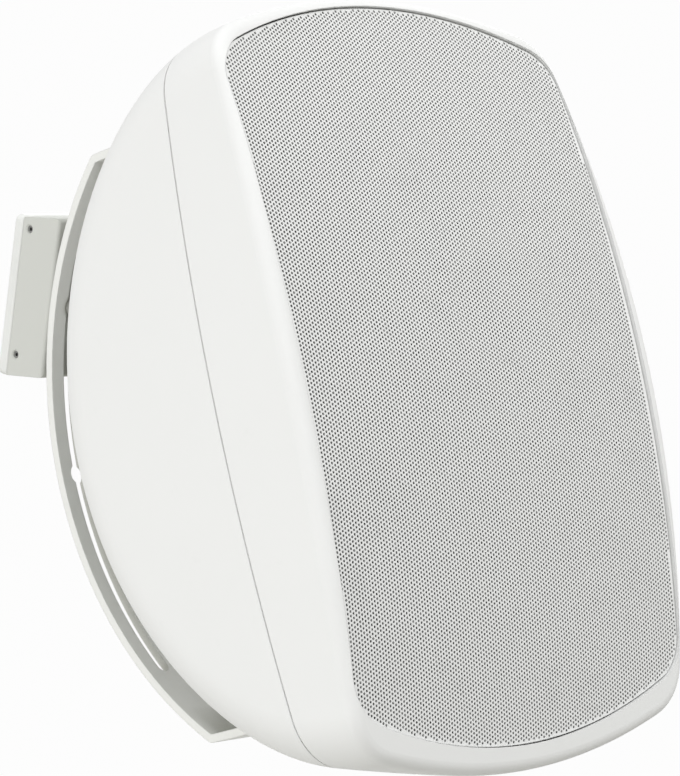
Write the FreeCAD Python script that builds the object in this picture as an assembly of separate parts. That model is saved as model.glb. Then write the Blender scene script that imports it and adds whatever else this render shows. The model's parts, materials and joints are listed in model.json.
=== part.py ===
import FreeCAD, Part
import math
import os

# Two-way wall loudspeaker on a curved rail and a wall bracket, in millimetres.
# The speaker is drawn upright: x to the right seen from the front, y to the back, z up,
# y = 0 at the foremost point of the front. It is then tilted about the rail's centre into
# the bracket's frame: origin on the wall behind the bracket, +Y into the wall, +Z up.

V = FreeCAD.Vector

# cabinet: a drum with its axis across the front, domed cheeks and a crowned back
cabinet_half_width = 96.4
drum_axis_y = -12.9
drum_axis_z = -2.7
drum_radius = 139.8
cheek_dome_radius = 900.0
crown_sag_back = 4.3
crown_sag_end = 17.5
crown_half_chord = 80.0
crown_blend_from = 52.0
crown_blend_to = 95.0
cabinet_corner_radius = 21.0
cabinet_wall = 3.2
front_arc_radius = 647.0
front_edge_radius = 4.5
seam_depth = 37.4
seam_gap = 0.5
seam_set_back = 1.2

# grille and its recess
rim_side_width = 6.3
rim_top_width = 6.5
grille_side_sag = 4.4
grille_end_sag = 19.9
grille_corner_radius = 16.9
grille_set_back = 1.2
grille_thickness = 1.0
grille_fold = 5.0
grille_clearance = 0.5
cloth_thickness = 0.6
ledge_width = 5.5

# baffle inside the front moulding
baffle_front = 24.0
baffle_thickness = 5.0
boss_radius = 5.0
boss_end = 62.0
shell_screw_inset_x = 20.1
shell_screw_inset_z = 26.0
middle_screw_inset_x = 14.1
middle_screw_z = 8.0

# woofer
woofer_flange_radius = 69.0
woofer_flange_thickness = 2.5
woofer_gasket = 1.0
woofer_cutout_radius = 59.5
woofer_pole_radius = 11.5
woofer_gap_radius = 13.6
woofer_magnet_radius = 45.0
woofer_magnet_thickness = 15.0
woofer_plate_thickness = 5.0
cone_edge_radius = 47.0
former_radius = 12.6
former_wall = 0.4
winding_thickness = 0.6
woofer_bolt_circle = 64.0

# tweeter
tweeter_plate_radius = 37.0
tweeter_cutout_radius = 27.0
tweeter_bolt_circle = 31.5
tweeter_magnet_radius = 24.0
dome_radius = 11.6
dome_rise = 5.8
dome_rim_radius = 22.0

# rail behind the cabinet
rail_centre_y = 27.3
rail_gap = 37.7
rail_thickness = 3.0
rail_half_width = 45.0
rail_end_angle = 49.5
rail_seat_recess = 1.3
rail_flange_height = 18.0
rail_corner_radius = 3.5
rail_seat_clearance = 0.5
slot_width = 4.9
slot_edge = 5.8
slot_end_angle = 33.3
keyhole_radius = 3.9

# wall bracket
tilt_angle = 25.5
bracket_half_width = 45.0
bracket_height = 58.7
bracket_depth = 21.8
bracket_wall = 2.4
bracket_lean = 2.5
rail_slide_gap = 0.25
plate_thickness = 3.8
plate_overhang = 0.4
tab_thickness = 2.5
tab_depth = 10.0
wall_hole_radius = 2.5
wall_hole_dx = 56.0
wall_hole_dz = 36.0
side_screw_y = 7.0
side_screw_z = 23.2
side_screw_rise = 2.1
side_screw_radius = 1.25
side_screw_sink = 0.8
clamp_bolt_radius = 2.0
clamp_head_radius = 3.4
clamp_nut_radius = 4.04
clamp_head_height = 2.5

# general fits
screw_clearance = 0.1
screw_radius = 2.0
small_screw_radius = 1.5
wire_radius = 1.0
glue_gap = 0.02
screw_tip_wall = 1.2

# terminals
terminal_z = -10.0
terminal_half_width = 30.0
terminal_half_height = 22.0
terminal_recess = 6.9
land_thickness = 3.5
contact_radius = 1.3

# crossover
board_set_back = 28.9
board_thickness = 1.6
board_half_width = 45.0
board_low = 22.0
board_high = 72.0

# wadding in the lower back
wadding_half_width = 60.0
wadding_reach = 38.9
wadding_low = -100.0
wadding_high = -45.0
wadding_thickness = 10.0

drum_back = drum_axis_y + drum_radius
drum_top = drum_axis_z + math.sqrt(drum_radius ** 2 - drum_axis_y ** 2)
grille_half_width = cabinet_half_width - rim_side_width
grille_half_height = drum_top - rim_top_width
rail_radius = drum_back + rail_gap + rail_thickness - rail_centre_y
terminal_face = drum_back - terminal_recess
board_y = drum_back - board_set_back
baffle_back = baffle_front + baffle_thickness

# the drivers share the height of the opening with equal spaces
opening_half_height = grille_half_height - ledge_width
driver_space = (2.0 * opening_half_height - 2.0 * woofer_flange_radius - 2.0 * tweeter_plate_radius) / 3.0
woofer_z = -opening_half_height + driver_space + woofer_flange_radius
tweeter_z = opening_half_height - driver_space - tweeter_plate_radius

slot_x = rail_half_width - slot_edge - slot_width / 2.0
wall_distance = rail_radius + rail_slide_gap + bracket_depth
behind = drum_back + rail_radius
inside = boss_end
beside = cabinet_half_width + rail_half_width
above = drum_radius + rail_flange_height

foot_z = rail_radius * math.sin(math.radians(rail_end_angle))
flange_end = foot_z - rail_flange_height
rail_screw_z = foot_z - rail_thickness - 8.0


def drum_y(radius, z):
    # where a drum of this radius meets a height on its back
    return drum_axis_y + math.sqrt(radius ** 2 - (z - drum_axis_z) ** 2)


rail_pad_face = drum_y(drum_radius, -flange_end) - rail_seat_recess
rail_screw_length = rail_pad_face - drum_y(drum_radius - cabinet_wall, -rail_screw_z) - screw_tip_wall


def box(x0, x1, y0, y1, z0, z1):
    return Part.makeBox(x1 - x0, y1 - y0, z1 - z0, V(x0, y0, z0))


def rod_y(x, z, radius, y0, y1):
    return Part.makeCylinder(radius, y1 - y0, V(x, y0, z), V(0, 1, 0))


def rod_x(y, z, radius, x0, x1):
    return Part.makeCylinder(radius, x1 - x0, V(x0, y, z), V(1, 0, 0))


def fuse_all(shapes):
    result = shapes[0]
    for shape in shapes[1:]:
        result = result.fuse(shape)
    return result.removeSplitter()


def cut_all(shape, tools):
    for tool in tools:
        shape = shape.cut(tool)
    return shape


def group(shapes):
    return Part.makeCompound(shapes)


def turned(points, z, angle=360.0, start=0.0):
    corners = [V(r, y, z) for r, y in points]
    face = Part.Face(Part.makePolygon(corners + [corners[0]]))
    face.rotate(V(0, 0, z), V(0, 1, 0), -start)
    return face.revolve(V(0, 0, z), V(0, 1, 0), -angle)


def tangent_circle_centre(c1, r1, c2, r2):
    # centre of the circle that lies r1 from c1 and r2 from c2, in the quadrant of positive values
    dx = c2[0] - c1[0]
    dy = c2[1] - c1[1]
    d = math.hypot(dx, dy)
    along = (d * d + r1 * r1 - r2 * r2) / (2.0 * d)
    across = math.sqrt(r1 * r1 - along * along)
    ux = dx / d
    uy = dy / d
    one = (c1[0] + ux * along + uy * across, c1[1] + uy * along - ux * across)
    two = (c1[0] + ux * along - uy * across, c1[1] + uy * along + ux * across)
    return one if min(one) > min(two) else two


def towards(centre, point, radius):
    d = math.hypot(point[0] - centre[0], point[1] - centre[1])
    return (centre[0] + (point[0] - centre[0]) * radius / d, centre[1] + (point[1] - centre[1]) * radius / d)


def corner_points(c1, r1, c2, r2, corner):
    # start, middle and end of the arc that rounds the corner between two circles
    centre = tangent_circle_centre(c1, r1 - corner, c2, r2 - corner)
    start = towards(c1, centre, r1)
    end = towards(c2, centre, r2)
    a = (start[0] + end[0]) / 2.0
    b = (start[1] + end[1]) / 2.0
    return start, towards(centre, (a, b), corner), end


def circle_x(c, r, v):
    return c[0] + math.sqrt(r * r - (v - c[1]) ** 2)


def arc(a, b, c):
    return Part.Arc(a, b, c).toShape()


def crown_sag(angle):
    t = (abs(angle) - crown_blend_from) / (crown_blend_to - crown_blend_from)
    t = min(max(t, 0.0), 1.0)
    return crown_sag_back + (crown_sag_end - crown_sag_back) * t * t * (3.0 - 2.0 * t)


def cabinet_section(angle, inset):
    # half-plane through the drum's axis: cheek arc, corner arc, crown arc, corner arc, cheek arc
    sag = crown_sag(angle)
    crown = (crown_half_chord ** 2 + sag ** 2) / (2.0 * sag)
    crown_c = (0.0, drum_radius - crown)
    cheek_c = (cabinet_half_width - cheek_dome_radius, 0.0)
    r_crown = crown - inset
    r_cheek = cheek_dome_radius - inset
    start, mid, end = corner_points(cheek_c, r_cheek, crown_c, r_crown, cabinet_corner_radius - inset)
    low = abs(drum_axis_y) - 0.9
    low_x = circle_x(cheek_c, r_cheek, low)
    half = start[1] / 2.0
    half_x = circle_x(cheek_c, r_cheek, half)
    c = math.cos(math.radians(angle))
    s = math.sin(math.radians(angle))

    def at(x, rho):
        return V(x, drum_axis_y + rho * c, drum_axis_z + rho * s)

    edges = [
        Part.makeLine(at(-low_x, low), at(low_x, low)),
        arc(at(low_x, low), at(half_x, half), at(*start)),
        arc(at(*start), at(*mid), at(*end)),
        arc(at(*end), at(0.0, drum_radius - inset), at(-end[0], end[1])),
        arc(at(-end[0], end[1]), at(-mid[0], mid[1]), at(-start[0], start[1])),
        arc(at(-start[0], start[1]), at(-half_x, half), at(-low_x, low)),
    ]
    return Part.Wire(edges)


def cabinet_body(inset):
    angles = [-90.0 + 15.0 * i for i in range(13)]
    return Part.makeLoft([cabinet_section(a, inset) for a in angles], True, False)


def behind_front(offset):
    # everything behind the convex front surface, moved back by the offset
    sag = front_arc_radius - math.sqrt(front_arc_radius ** 2 - above ** 2)
    low = V(-beside, offset + sag, -above)
    high = V(-beside, offset + sag, above)
    edges = [
        arc(low, V(-beside, offset, 0), high),
        Part.makeLine(high, V(-beside, behind, above)),
        Part.makeLine(V(-beside, behind, above), V(-beside, behind, -above)),
        Part.makeLine(V(-beside, behind, -above), low),
    ]
    return Part.Face(Part.Wire(edges)).extrude(V(2 * beside, 0, 0))


def outline_prism(inset, y0, y1):
    # the grille's outline, drawn in by the inset, as a prism along y
    r_side = (grille_half_height ** 2 + grille_side_sag ** 2) / (2.0 * grille_side_sag)
    r_end = (grille_half_width ** 2 + grille_end_sag ** 2) / (2.0 * grille_end_sag)
    side_c = (grille_half_width - r_side, 0.0)
    end_c = (0.0, grille_half_height - r_end)
    r_side = r_side - inset
    r_end = r_end - inset
    s, m, e = corner_points(side_c, r_side, end_c, r_end, grille_corner_radius - inset)
    w = grille_half_width - inset
    h = grille_half_height - inset

    def at(x, z):
        return V(x, y0, z)

    edges = [
        arc(at(s[0], -s[1]), at(w, 0), at(s[0], s[1])),
        arc(at(s[0], s[1]), at(m[0], m[1]), at(e[0], e[1])),
        arc(at(e[0], e[1]), at(0, h), at(-e[0], e[1])),
        arc(at(-e[0], e[1]), at(-m[0], m[1]), at(-s[0], s[1])),
        arc(at(-s[0], s[1]), at(-w, 0), at(-s[0], -s[1])),
        arc(at(-s[0], -s[1]), at(-m[0], -m[1]), at(-e[0], -e[1])),
        arc(at(-e[0], -e[1]), at(0, -h), at(e[0], -e[1])),
        arc(at(e[0], -e[1]), at(m[0], -m[1]), at(s[0], -s[1])),
    ]
    return Part.Face(Part.Wire(edges)).extrude(V(0, y1 - y0, 0))


def wire_through(points, radius):
    # six-sided wire along a chain of straight runs with mitred corners
    path = [V(*p) for p in points]
    along = (path[1] - path[0]).normalize()
    across = along.cross(V(1, 0, 0)).normalize()
    other = along.cross(across)
    ring = []
    for i in range(7):
        a = math.radians(60.0 * i)
        ring.append(path[0] + across * (radius * math.cos(a)) + other * (radius * math.sin(a)))
    return Part.makePolygon(path).makePipeShell([Part.makePolygon(ring)], True, False, 1)


def cap_shell(radius, edge_y, rise, skin, z):
    # spherical cap that opens to the back, with its rim at edge_y
    ball = (radius ** 2 + rise ** 2) / (2.0 * rise)
    centre = V(0, edge_y - rise + ball, z)
    hollow = Part.makeSphere(ball, centre).cut(Part.makeSphere(ball - skin, centre))
    return hollow.common(rod_y(0, z, radius, edge_y - rise - 1.0, edge_y + skin))


def screw(x, z, radius, head_radius, seat, head, length):
    # shank from the seat towards +y, round head towards -y
    return rod_y(x, z, radius, seat, seat + length).fuse(rod_y(x, z, head_radius, seat - head, seat))


def screw_back(x, z, radius, head_radius, seat, head, length):
    # shank from the seat towards -y, round head towards +y
    return rod_y(x, z, radius, seat - length, seat).fuse(rod_y(x, z, head_radius, seat, seat + head))


def ring_places(count, radius, z, turn=0.0):
    places = []
    for i in range(count):
        a = math.radians(turn + 360.0 * i / count)
        places.append((radius * math.cos(a), z + radius * math.sin(a)))
    return places


def slab(y0, y1):
    return box(-beside, beside, y0, y1, -above, above)


speaker = {}
bracket = {}

# cabinet mouldings
outer = cabinet_body(0.0).common(behind_front(0.0))
inner = cabinet_body(cabinet_wall)


def on_front(edge):
    for f in (0.1, 0.35, 0.6, 0.9):
        first, last = edge.ParameterRange
        p = edge.valueAt(first + (last - first) * f)
        if abs(math.hypot(p.y - front_arc_radius, p.z) - front_arc_radius) > 0.01:
            return False
    return True


outer = outer.makeFillet(front_edge_radius, [e for e in outer.Edges if on_front(e)])

front_end = seam_depth - seam_gap / 2.0
rear_start = seam_depth + seam_gap / 2.0
corner_x = grille_half_width - shell_screw_inset_x
corner_z = grille_half_height - shell_screw_inset_z
middle_x = grille_half_width - middle_screw_inset_x
shell_screw_places = [(s * corner_x, t * corner_z) for s in (1, -1) for t in (1, -1)]
shell_screw_places += [(s * middle_x, middle_screw_z) for s in (1, -1)]
woofer_screw_places = ring_places(4, woofer_bolt_circle, woofer_z, 45.0)
tweeter_screw_places = ring_places(4, tweeter_bolt_circle, tweeter_z, 45.0)

front = outer.common(slab(-20, front_end))
grille_room = outline_prism(-grille_clearance, -20, inside)
front = front.cut(grille_room.cut(behind_front(grille_set_back + grille_fold)))
front = front.cut(outline_prism(ledge_width, -20, baffle_front))
cavity = inner.common(slab(baffle_back, front_end + 1))
columns = [rod_y(x, z, boss_radius, baffle_back, front_end) for x, z in shell_screw_places]
front = front.cut(cut_all(cavity, columns))
front = front.cut(rod_y(0, woofer_z, woofer_cutout_radius, 0, inside))
front = front.cut(rod_y(0, tweeter_z, tweeter_cutout_radius, 0, inside))
screw_hole = screw_radius + screw_clearance
front = cut_all(front, [rod_y(x, z, screw_hole, 0, inside) for x, z in shell_screw_places])
small_hole = small_screw_radius + screw_clearance
front = cut_all(front, [rod_y(x, z, small_hole, 0, inside) for x, z in woofer_screw_places])
front = cut_all(front, [rod_y(x, z, small_hole, 0, inside) for x, z in tweeter_screw_places])
speaker["front_shell"] = front

rear = outer.cut(inner).common(slab(rear_start, behind))
extras = []
for x, z in shell_screw_places:
    boss = rod_y(x, z, boss_radius, front_end, boss_end)
    reach = math.copysign(cabinet_half_width, x)
    rib = box(min(x, reach), max(x, reach), rear_start, boss_end, z - 1.5, z + 1.5)
    extras.append(boss.fuse(rib).common(outer))
pad_low = flange_end - 3.0
for side in (1, -1):
    low, high = sorted((side * pad_low, side * (foot_z + 1.0)))
    extras.append(box(2 - rail_half_width, rail_half_width - 2, inside, rail_pad_face, low, high).cut(inner))
rail_seats = []
for side in (1, -1):
    low, high = sorted((side * (flange_end - rail_seat_clearance), side * (foot_z + 2.0)))
    rail_seats.append(box(-rail_half_width - rail_seat_clearance, rail_half_width + rail_seat_clearance,
                          rail_pad_face, behind, low, high))
board_posts = [(38, board_low + 6), (-38, board_low + 6), (38, board_high - 6), (-38, board_high - 6)]
for x, z in board_posts:
    extras.append(rod_y(x, z, 4.0, board_y + board_thickness, behind).common(outer))
land = box(-terminal_half_width - 3, terminal_half_width + 3, terminal_face - land_thickness, behind,
           terminal_z - terminal_half_height - 3, terminal_z + terminal_half_height + 3)
extras.append(land.common(outer))
rear = cut_all(fuse_all([rear] + extras), rail_seats)
rear = rear.cut(box(-terminal_half_width, terminal_half_width, terminal_face, behind,
                    terminal_z - terminal_half_height, terminal_z + terminal_half_height))
shell_screw_length = 28.0
for x, z in shell_screw_places:
    rear = rear.cut(rod_y(x, z, screw_hole, baffle_front, baffle_front + shell_screw_length + 1))
rail_screw_places = [(x, s * rail_screw_z) for s in (1, -1) for x in (28, -28)]
for x, z in rail_screw_places:
    rear = rear.cut(rod_y(x, z, screw_hole, rail_pad_face - rail_screw_length, behind))
for x, z in board_posts:
    rear = rear.cut(rod_y(x, z, small_hole, board_y, board_y + board_thickness + 6))
terminal_screw_places = [(sx * 25, terminal_z + sz * 17) for sx in (1, -1) for sz in (1, -1)]
contact_places = [(x, terminal_z) for x in (-12, -4, 4, 12)]
contact_hole = contact_radius + screw_clearance
land_front = terminal_face - land_thickness - 1.0
for x, z in terminal_screw_places:
    rear = rear.cut(rod_y(x, z, small_hole, land_front, behind))
for x, z in contact_places:
    rear = rear.cut(rod_y(x, z, contact_hole, land_front, behind))
speaker["rear_shell"] = rear

seam_slice = slab(front_end, rear_start)
gasket_ring = cabinet_body(seam_set_back).common(seam_slice).cut(inner.common(seam_slice))
boss_room = [rod_y(x, z, boss_radius + grille_clearance, 0, inside) for x, z in shell_screw_places]
speaker["seam_gasket"] = cut_all(gasket_ring, boss_room)
speaker["shell_screws"] = group([screw(x, z, screw_radius, 4.0, baffle_front, 2.5, shell_screw_length)
                                 for x, z in shell_screw_places])

# grille and cloth
sheet_back = grille_set_back + grille_thickness
sheet = outline_prism(0.0, -5, inside).common(behind_front(grille_set_back)).cut(behind_front(sheet_back))
fold = outline_prism(0.0, -5, inside).cut(outline_prism(grille_thickness, -5, inside))
fold = fold.common(behind_front(grille_set_back)).cut(behind_front(grille_set_back + grille_fold))
speaker["grille"] = fuse_all([sheet, fold])
cloth = outline_prism(grille_thickness + 0.2, -5, inside).common(behind_front(sheet_back))
speaker["grille_cloth"] = cloth.cut(behind_front(sheet_back + cloth_thickness))

# woofer, from the flange to the yoke
wf = baffle_front - woofer_gasket - woofer_flange_thickness
fr = woofer_flange_radius
basket = turned([(fr, wf), (fr, wf + 2.5), (58.5, wf + 2.5), (57, wf + 13.5), (46, wf + 27.5),
                 (39, wf + 27.5), (38, wf + 37.5), (20, wf + 37.5), (20, wf + 35.5), (36, wf + 35.5),
                 (36.8, wf + 25.5), (45, wf + 25.5), (55, wf + 12.9), (56.2, wf)], woofer_z)
for i in range(6):
    basket = basket.cut(turned([(42, wf + 15), (62, wf + 15), (62, wf + 24.5), (42, wf + 24.5)],
                               woofer_z, 34.0, 73.0 + 60.0 * i))
woofer_holes = [rod_y(x, z, small_hole, 0, inside) for x, z in woofer_screw_places]
speaker["woofer_basket"] = cut_all(basket, woofer_holes)
gasket_front = baffle_front - woofer_gasket
gasket = turned([(woofer_cutout_radius, gasket_front), (fr - 0.5, gasket_front), (fr - 0.5, baffle_front),
                 (woofer_cutout_radius, baffle_front)], woofer_z)
speaker["woofer_gasket"] = cut_all(gasket, woofer_holes)
speaker["woofer_screws"] = group([screw(x, z, small_screw_radius, 3.0, wf, 1.8, 14.0)
                                  for x, z in woofer_screw_places])
plate_y = wf + 37.5
magnet_y = plate_y + woofer_plate_thickness
yoke_y = magnet_y + woofer_magnet_thickness
speaker["woofer_top_plate"] = turned([(woofer_gap_radius, plate_y), (42, plate_y), (42, magnet_y),
                                      (woofer_gap_radius, magnet_y)], woofer_z)
speaker["woofer_magnet"] = turned([(18, magnet_y), (woofer_magnet_radius, magnet_y),
                                   (woofer_magnet_radius, yoke_y), (18, yoke_y)], woofer_z)
speaker["woofer_yoke"] = turned([(4, plate_y), (woofer_pole_radius, plate_y), (woofer_pole_radius, yoke_y),
                                 (42, yoke_y), (42, yoke_y + 4), (40, yoke_y + 5), (4, yoke_y + 5)], woofer_z)
tag_z = woofer_z + 42.0
speaker["woofer_tag_strip"] = box(-8, 8, wf + 27.5, wf + 37.0, tag_z, tag_z + 1.5)
speaker["woofer_tags"] = group([box(x - 1.5, x + 1.5, wf + 29.5, wf + 40.0, tag_z + 1.5, tag_z + 2.2)
                                for x in (-4.5, 4.5)])

# woofer's moving parts
neck_y = wf + 20.8
cone_slope = (neck_y - wf) / (cone_edge_radius - former_radius)


def cone_front(r):
    return neck_y - cone_slope * (r - former_radius)


speaker["woofer_cone"] = turned([(former_radius, neck_y), (cone_edge_radius, wf),
                                 (cone_edge_radius, wf + 1.0), (former_radius, neck_y + 1.2)], woofer_z)
coil_y = plate_y + woofer_plate_thickness / 2.0
former_bore = former_radius - former_wall
speaker["woofer_former"] = turned([(former_bore, neck_y - 1.0), (former_radius, neck_y - 1.0),
                                   (former_radius, coil_y + 6.0), (former_bore, coil_y + 6.0)], woofer_z)
winding_radius = former_radius + winding_thickness
speaker["woofer_winding"] = turned([(former_radius, coil_y - 5.0), (winding_radius, coil_y - 5.0),
                                    (winding_radius, coil_y + 5.0), (former_radius, coil_y + 5.0)], woofer_z)
cap_radius = 20.0
cap_rise = 7.4
cap_skin = 0.6
cap_ball = (cap_radius ** 2 + cap_rise ** 2) / (2.0 * cap_rise)
cap_drop = cap_ball - cap_rise - math.sqrt((cap_ball - cap_skin) ** 2 - cap_radius ** 2)
cap_edge = cone_front(cap_radius) - cap_drop - glue_gap
speaker["woofer_dust_cap"] = cap_shell(cap_radius, cap_edge, cap_rise, cap_skin, woofer_z)
roll_in = cone_edge_radius + 0.8
roll_out = 56.2
roll_mid = (roll_in + roll_out) / 2.0
roll_r = (roll_out - roll_in) / 2.0
skin = 0.7
lip = 61.0


def beside_cone(r, y):
    return V(r, y, woofer_z)


surround_wire = Part.Wire([
    Part.makeLine(beside_cone(cone_edge_radius, wf + 1.0), beside_cone(cone_edge_radius, wf - skin)),
    Part.makeLine(beside_cone(cone_edge_radius, wf - skin), beside_cone(roll_in, wf - skin)),
    arc(beside_cone(roll_in, wf - skin), beside_cone(roll_mid, wf - skin - roll_r),
        beside_cone(roll_out, wf - skin)),
    Part.makeLine(beside_cone(roll_out, wf - skin), beside_cone(lip, wf - skin)),
    Part.makeLine(beside_cone(lip, wf - skin), beside_cone(lip, wf)),
    Part.makeLine(beside_cone(lip, wf), beside_cone(roll_out - skin, wf)),
    arc(beside_cone(roll_out - skin, wf), beside_cone(roll_mid, wf - roll_r),
        beside_cone(roll_in + skin, wf)),
    Part.makeLine(beside_cone(roll_in + skin, wf), beside_cone(roll_in + skin, wf + 1.0)),
    Part.makeLine(beside_cone(roll_in + skin, wf + 1.0), beside_cone(cone_edge_radius, wf + 1.0))])
speaker["woofer_surround"] = Part.Face(surround_wire).revolve(V(0, 0, woofer_z), V(0, 1, 0), 360)
sp = wf + 24.9
waves = [(former_radius, sp - 0.8), (16, sp - 0.8), (19, sp - 1.8), (22, sp - 0.2), (25, sp - 1.8),
         (28, sp - 0.2), (31, sp - 1.8), (34, sp), (44, sp)]
speaker["woofer_spider"] = turned(waves + [(r, y + 0.6) for r, y in reversed(waves)], woofer_z)
lead_r = 30.0
lead_y = cone_front(lead_r) + 1.2 + 0.7
leads = []
for x in (-4.5, 4.5):
    leads.append(wire_through([(x, wf + 32, tag_z + 2.9), (x, wf + 27, tag_z + 8), (x, wf + 21, tag_z + 9),
                               (x, wf + 16.5, tag_z - 2), (x, lead_y, woofer_z + lead_r)], 0.7))
speaker["woofer_leads"] = group(leads)

# tweeter
tf = baffle_front
tr = tweeter_plate_radius
face_plate = turned([(tr - 1.5, tf - 3.0), (tr, tf - 1.5), (tr, tf), (26, tf), (26, tf + 3), (14, tf + 3),
                     (14, tf + 1), (17, tf - 1.2), (21, tf - 2.5), (25, tf - 3.0)], tweeter_z)
plate_holes = [rod_y(x, z, small_hole, 0, inside) for x, z in tweeter_screw_places]
speaker["tweeter_face_plate"] = cut_all(face_plate, plate_holes)
dome = cap_shell(dome_radius, tf + 2.6, dome_rise, 0.5, tweeter_z)
dome_rim = turned([(dome_radius - 0.5, tf + 2.4), (dome_radius, tf + 2.4), (dome_radius + 1.8, tf + 3.0),
                   (dome_rim_radius, tf + 3.0), (dome_rim_radius, tf + 3.5), (dome_radius - 0.5, tf + 3.5)],
                  tweeter_z)
speaker["tweeter_dome"] = fuse_all([dome, dome_rim])
speaker["tweeter_coil"] = turned([(11.2, tf + 3.5), (12.0, tf + 3.5), (12.0, tf + 8.0), (11.2, tf + 8.0)],
                                 tweeter_z)
mr = tweeter_magnet_radius
speaker["tweeter_top_plate"] = turned([(12.6, tf + 3.5), (mr, tf + 3.5), (mr, tf + 7.0), (12.6, tf + 7.0)],
                                      tweeter_z)
speaker["tweeter_magnet"] = turned([(15, tf + 7.0), (mr, tf + 7.0), (mr, tf + 15.0), (15, tf + 15.0)],
                                   tweeter_z)
speaker["tweeter_yoke"] = turned([(0, tf + 3.9), (10.6, tf + 3.9), (10.6, tf + 15.0), (mr, tf + 15.0),
                                  (mr, tf + 18.5), (0, tf + 18.5)], tweeter_z)
speaker["tweeter_tags"] = group([box(x - 1.5, x + 1.5, tf + 18.5, tf + 24.5, tweeter_z - 0.4, tweeter_z + 0.4)
                                 for x in (-9, 9)])
speaker["tweeter_screws"] = group([screw(x, z, small_screw_radius, 2.8, tf - 3.0, 1.6, 12.0)
                                   for x, z in tweeter_screw_places])

# crossover on posts of the rear moulding
board = box(-board_half_width, board_half_width, board_y, board_y + board_thickness, board_low, board_high)
speaker["crossover_board"] = cut_all(board, [rod_y(x, z, small_hole, inside, behind) for x, z in board_posts])
speaker["crossover_screws"] = group([screw(x, z, small_screw_radius, 3.0, board_y, 2.0, 7.0)
                                     for x, z in board_posts])
speaker["crossover_coils"] = group([rod_y(x, board_low + 14, 12.5, board_y - h, board_y)
                                    .cut(rod_y(x, board_low + 14, 5.0, 0, behind))
                                    for x, h in ((-15, 14), (16, 10))])
speaker["crossover_capacitors"] = group([rod_x(board_y - r, board_low + 34, r, x - 13, x + 13)
                                         for x, r in ((-17, 6.5), (15, 5.5))])
speaker["crossover_resistor"] = box(-12, 12, board_y - 8, board_y, board_high - 7.5, board_high - 0.5)

# terminals in a flat pocket of the back
tp = terminal_face
gap = 0.2
plate = box(gap - terminal_half_width, terminal_half_width - gap, tp, tp + 2.5,
            terminal_z - terminal_half_height + gap, terminal_z + terminal_half_height - gap)
plate = cut_all(plate, [rod_y(x, z, small_hole, inside, behind) for x, z in terminal_screw_places])
contact_bores = [rod_y(x, z, contact_hole, inside, tp + 8) for x, z in contact_places]
speaker["terminal_plate"] = cut_all(plate, contact_bores)
block = box(-17, 17, tp + 2.5, tp + 12.5, terminal_z - 8, terminal_z + 8)
block = cut_all(block, [rod_y(x, z, 2.9, tp + 7.5, behind) for x, z in contact_places])
block = cut_all(block, [box(x - 2.2, x + 2.2, tp + 4.0, tp + 7.4, terminal_z - 9, terminal_z - 3)
                        for x, z in contact_places])
speaker["terminal_block"] = cut_all(block, contact_bores)
pins = []
for x, z in contact_places:
    head = rod_y(x, z, 2.7, tp + 8.0, tp + 11.6).cut(box(x - 3, x + 3, tp + 10.8, tp + 13, z - 0.4, z + 0.4))
    pins.append(head.fuse(rod_y(x, z, contact_radius, tp - land_thickness - 5.0, tp + 8.0)))
speaker["terminal_contacts"] = group(pins)
speaker["terminal_screws"] = group([screw_back(x, z, small_screw_radius, 2.8, tp + 2.5, 1.8, 7.5)
                                    for x, z in terminal_screw_places])

# inner wires
pin_y = tp - land_thickness - 5.0
bb = board_y + board_thickness
speaker["wires_input"] = group([wire_through([(x, pin_y - 0.2, terminal_z), (x, pin_y - 4.0, terminal_z),
                                              (x, pin_y - 6.5, terminal_z + 10),
                                              (x, bb + 5.5, board_low - 6), (x, bb + 3.0, board_low + 4),
                                              (x, bb, board_low + 4)], wire_radius) for x in (-12, -4)])
woofer_wires = []
for x in (-4.5, 4.5):
    run = [(x, wf + 36, tag_z + 3.25), (x, wf + 40, tag_z + 3.25), (x, wf + 48, tag_z + 9),
           (x, board_y - 10, board_low - 4), (x, board_y - 3, board_low + 1.3), (x, board_y, board_low + 1.3)]
    woofer_wires.append(wire_through(run, wire_radius))
speaker["wires_woofer"] = group(woofer_wires)
tweeter_wires = []
for x in (-9, 9):
    run = [(x, tf + 24.7, tweeter_z), (x, tf + 29, tweeter_z), (x, tf + 38, tweeter_z + 3),
           (2.6 * x, board_y - 22, board_high - 1), (2.9 * x, board_y - 8, board_high - 5),
           (2.9 * x, board_y, board_high - 5)]
    tweeter_wires.append(wire_through(run, wire_radius))
speaker["wires_tweeter"] = group(tweeter_wires)
wadding = cabinet_body(cabinet_wall + glue_gap)
wadding = wadding.common(box(-wadding_half_width, wadding_half_width, drum_back - wadding_reach, behind,
                             wadding_low, wadding_high))
speaker["damping_pad"] = wadding.cut(cabinet_body(cabinet_wall + wadding_thickness))

# rail: band, feet and flanges bent from one strip
ry = rail_centre_y
r_out = rail_radius
r_in = rail_radius - rail_thickness
foot_in = foot_z - rail_thickness
out_y = ry + r_out * math.cos(math.radians(rail_end_angle))
in_y = ry + math.sqrt(r_in ** 2 - foot_in ** 2)
x0 = -rail_half_width
fy = rail_pad_face
corners = [V(x0, fy, -flange_end), V(x0, fy + rail_thickness, -flange_end),
           V(x0, fy + rail_thickness, -foot_in), V(x0, in_y, -foot_in)]
rail_edges = [Part.makeLine(corners[i], corners[i + 1]) for i in range(3)]
rail_edges.append(arc(corners[3], V(x0, ry + r_in, 0), V(x0, in_y, foot_in)))
corners = [V(x0, in_y, foot_in), V(x0, fy + rail_thickness, foot_in), V(x0, fy + rail_thickness, flange_end),
           V(x0, fy, flange_end), V(x0, fy, foot_z), V(x0, out_y, foot_z)]
rail_edges += [Part.makeLine(corners[i], corners[i + 1]) for i in range(5)]
rail_edges.append(arc(corners[5], V(x0, ry + r_out, 0), V(x0, out_y, -foot_z)))
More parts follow.
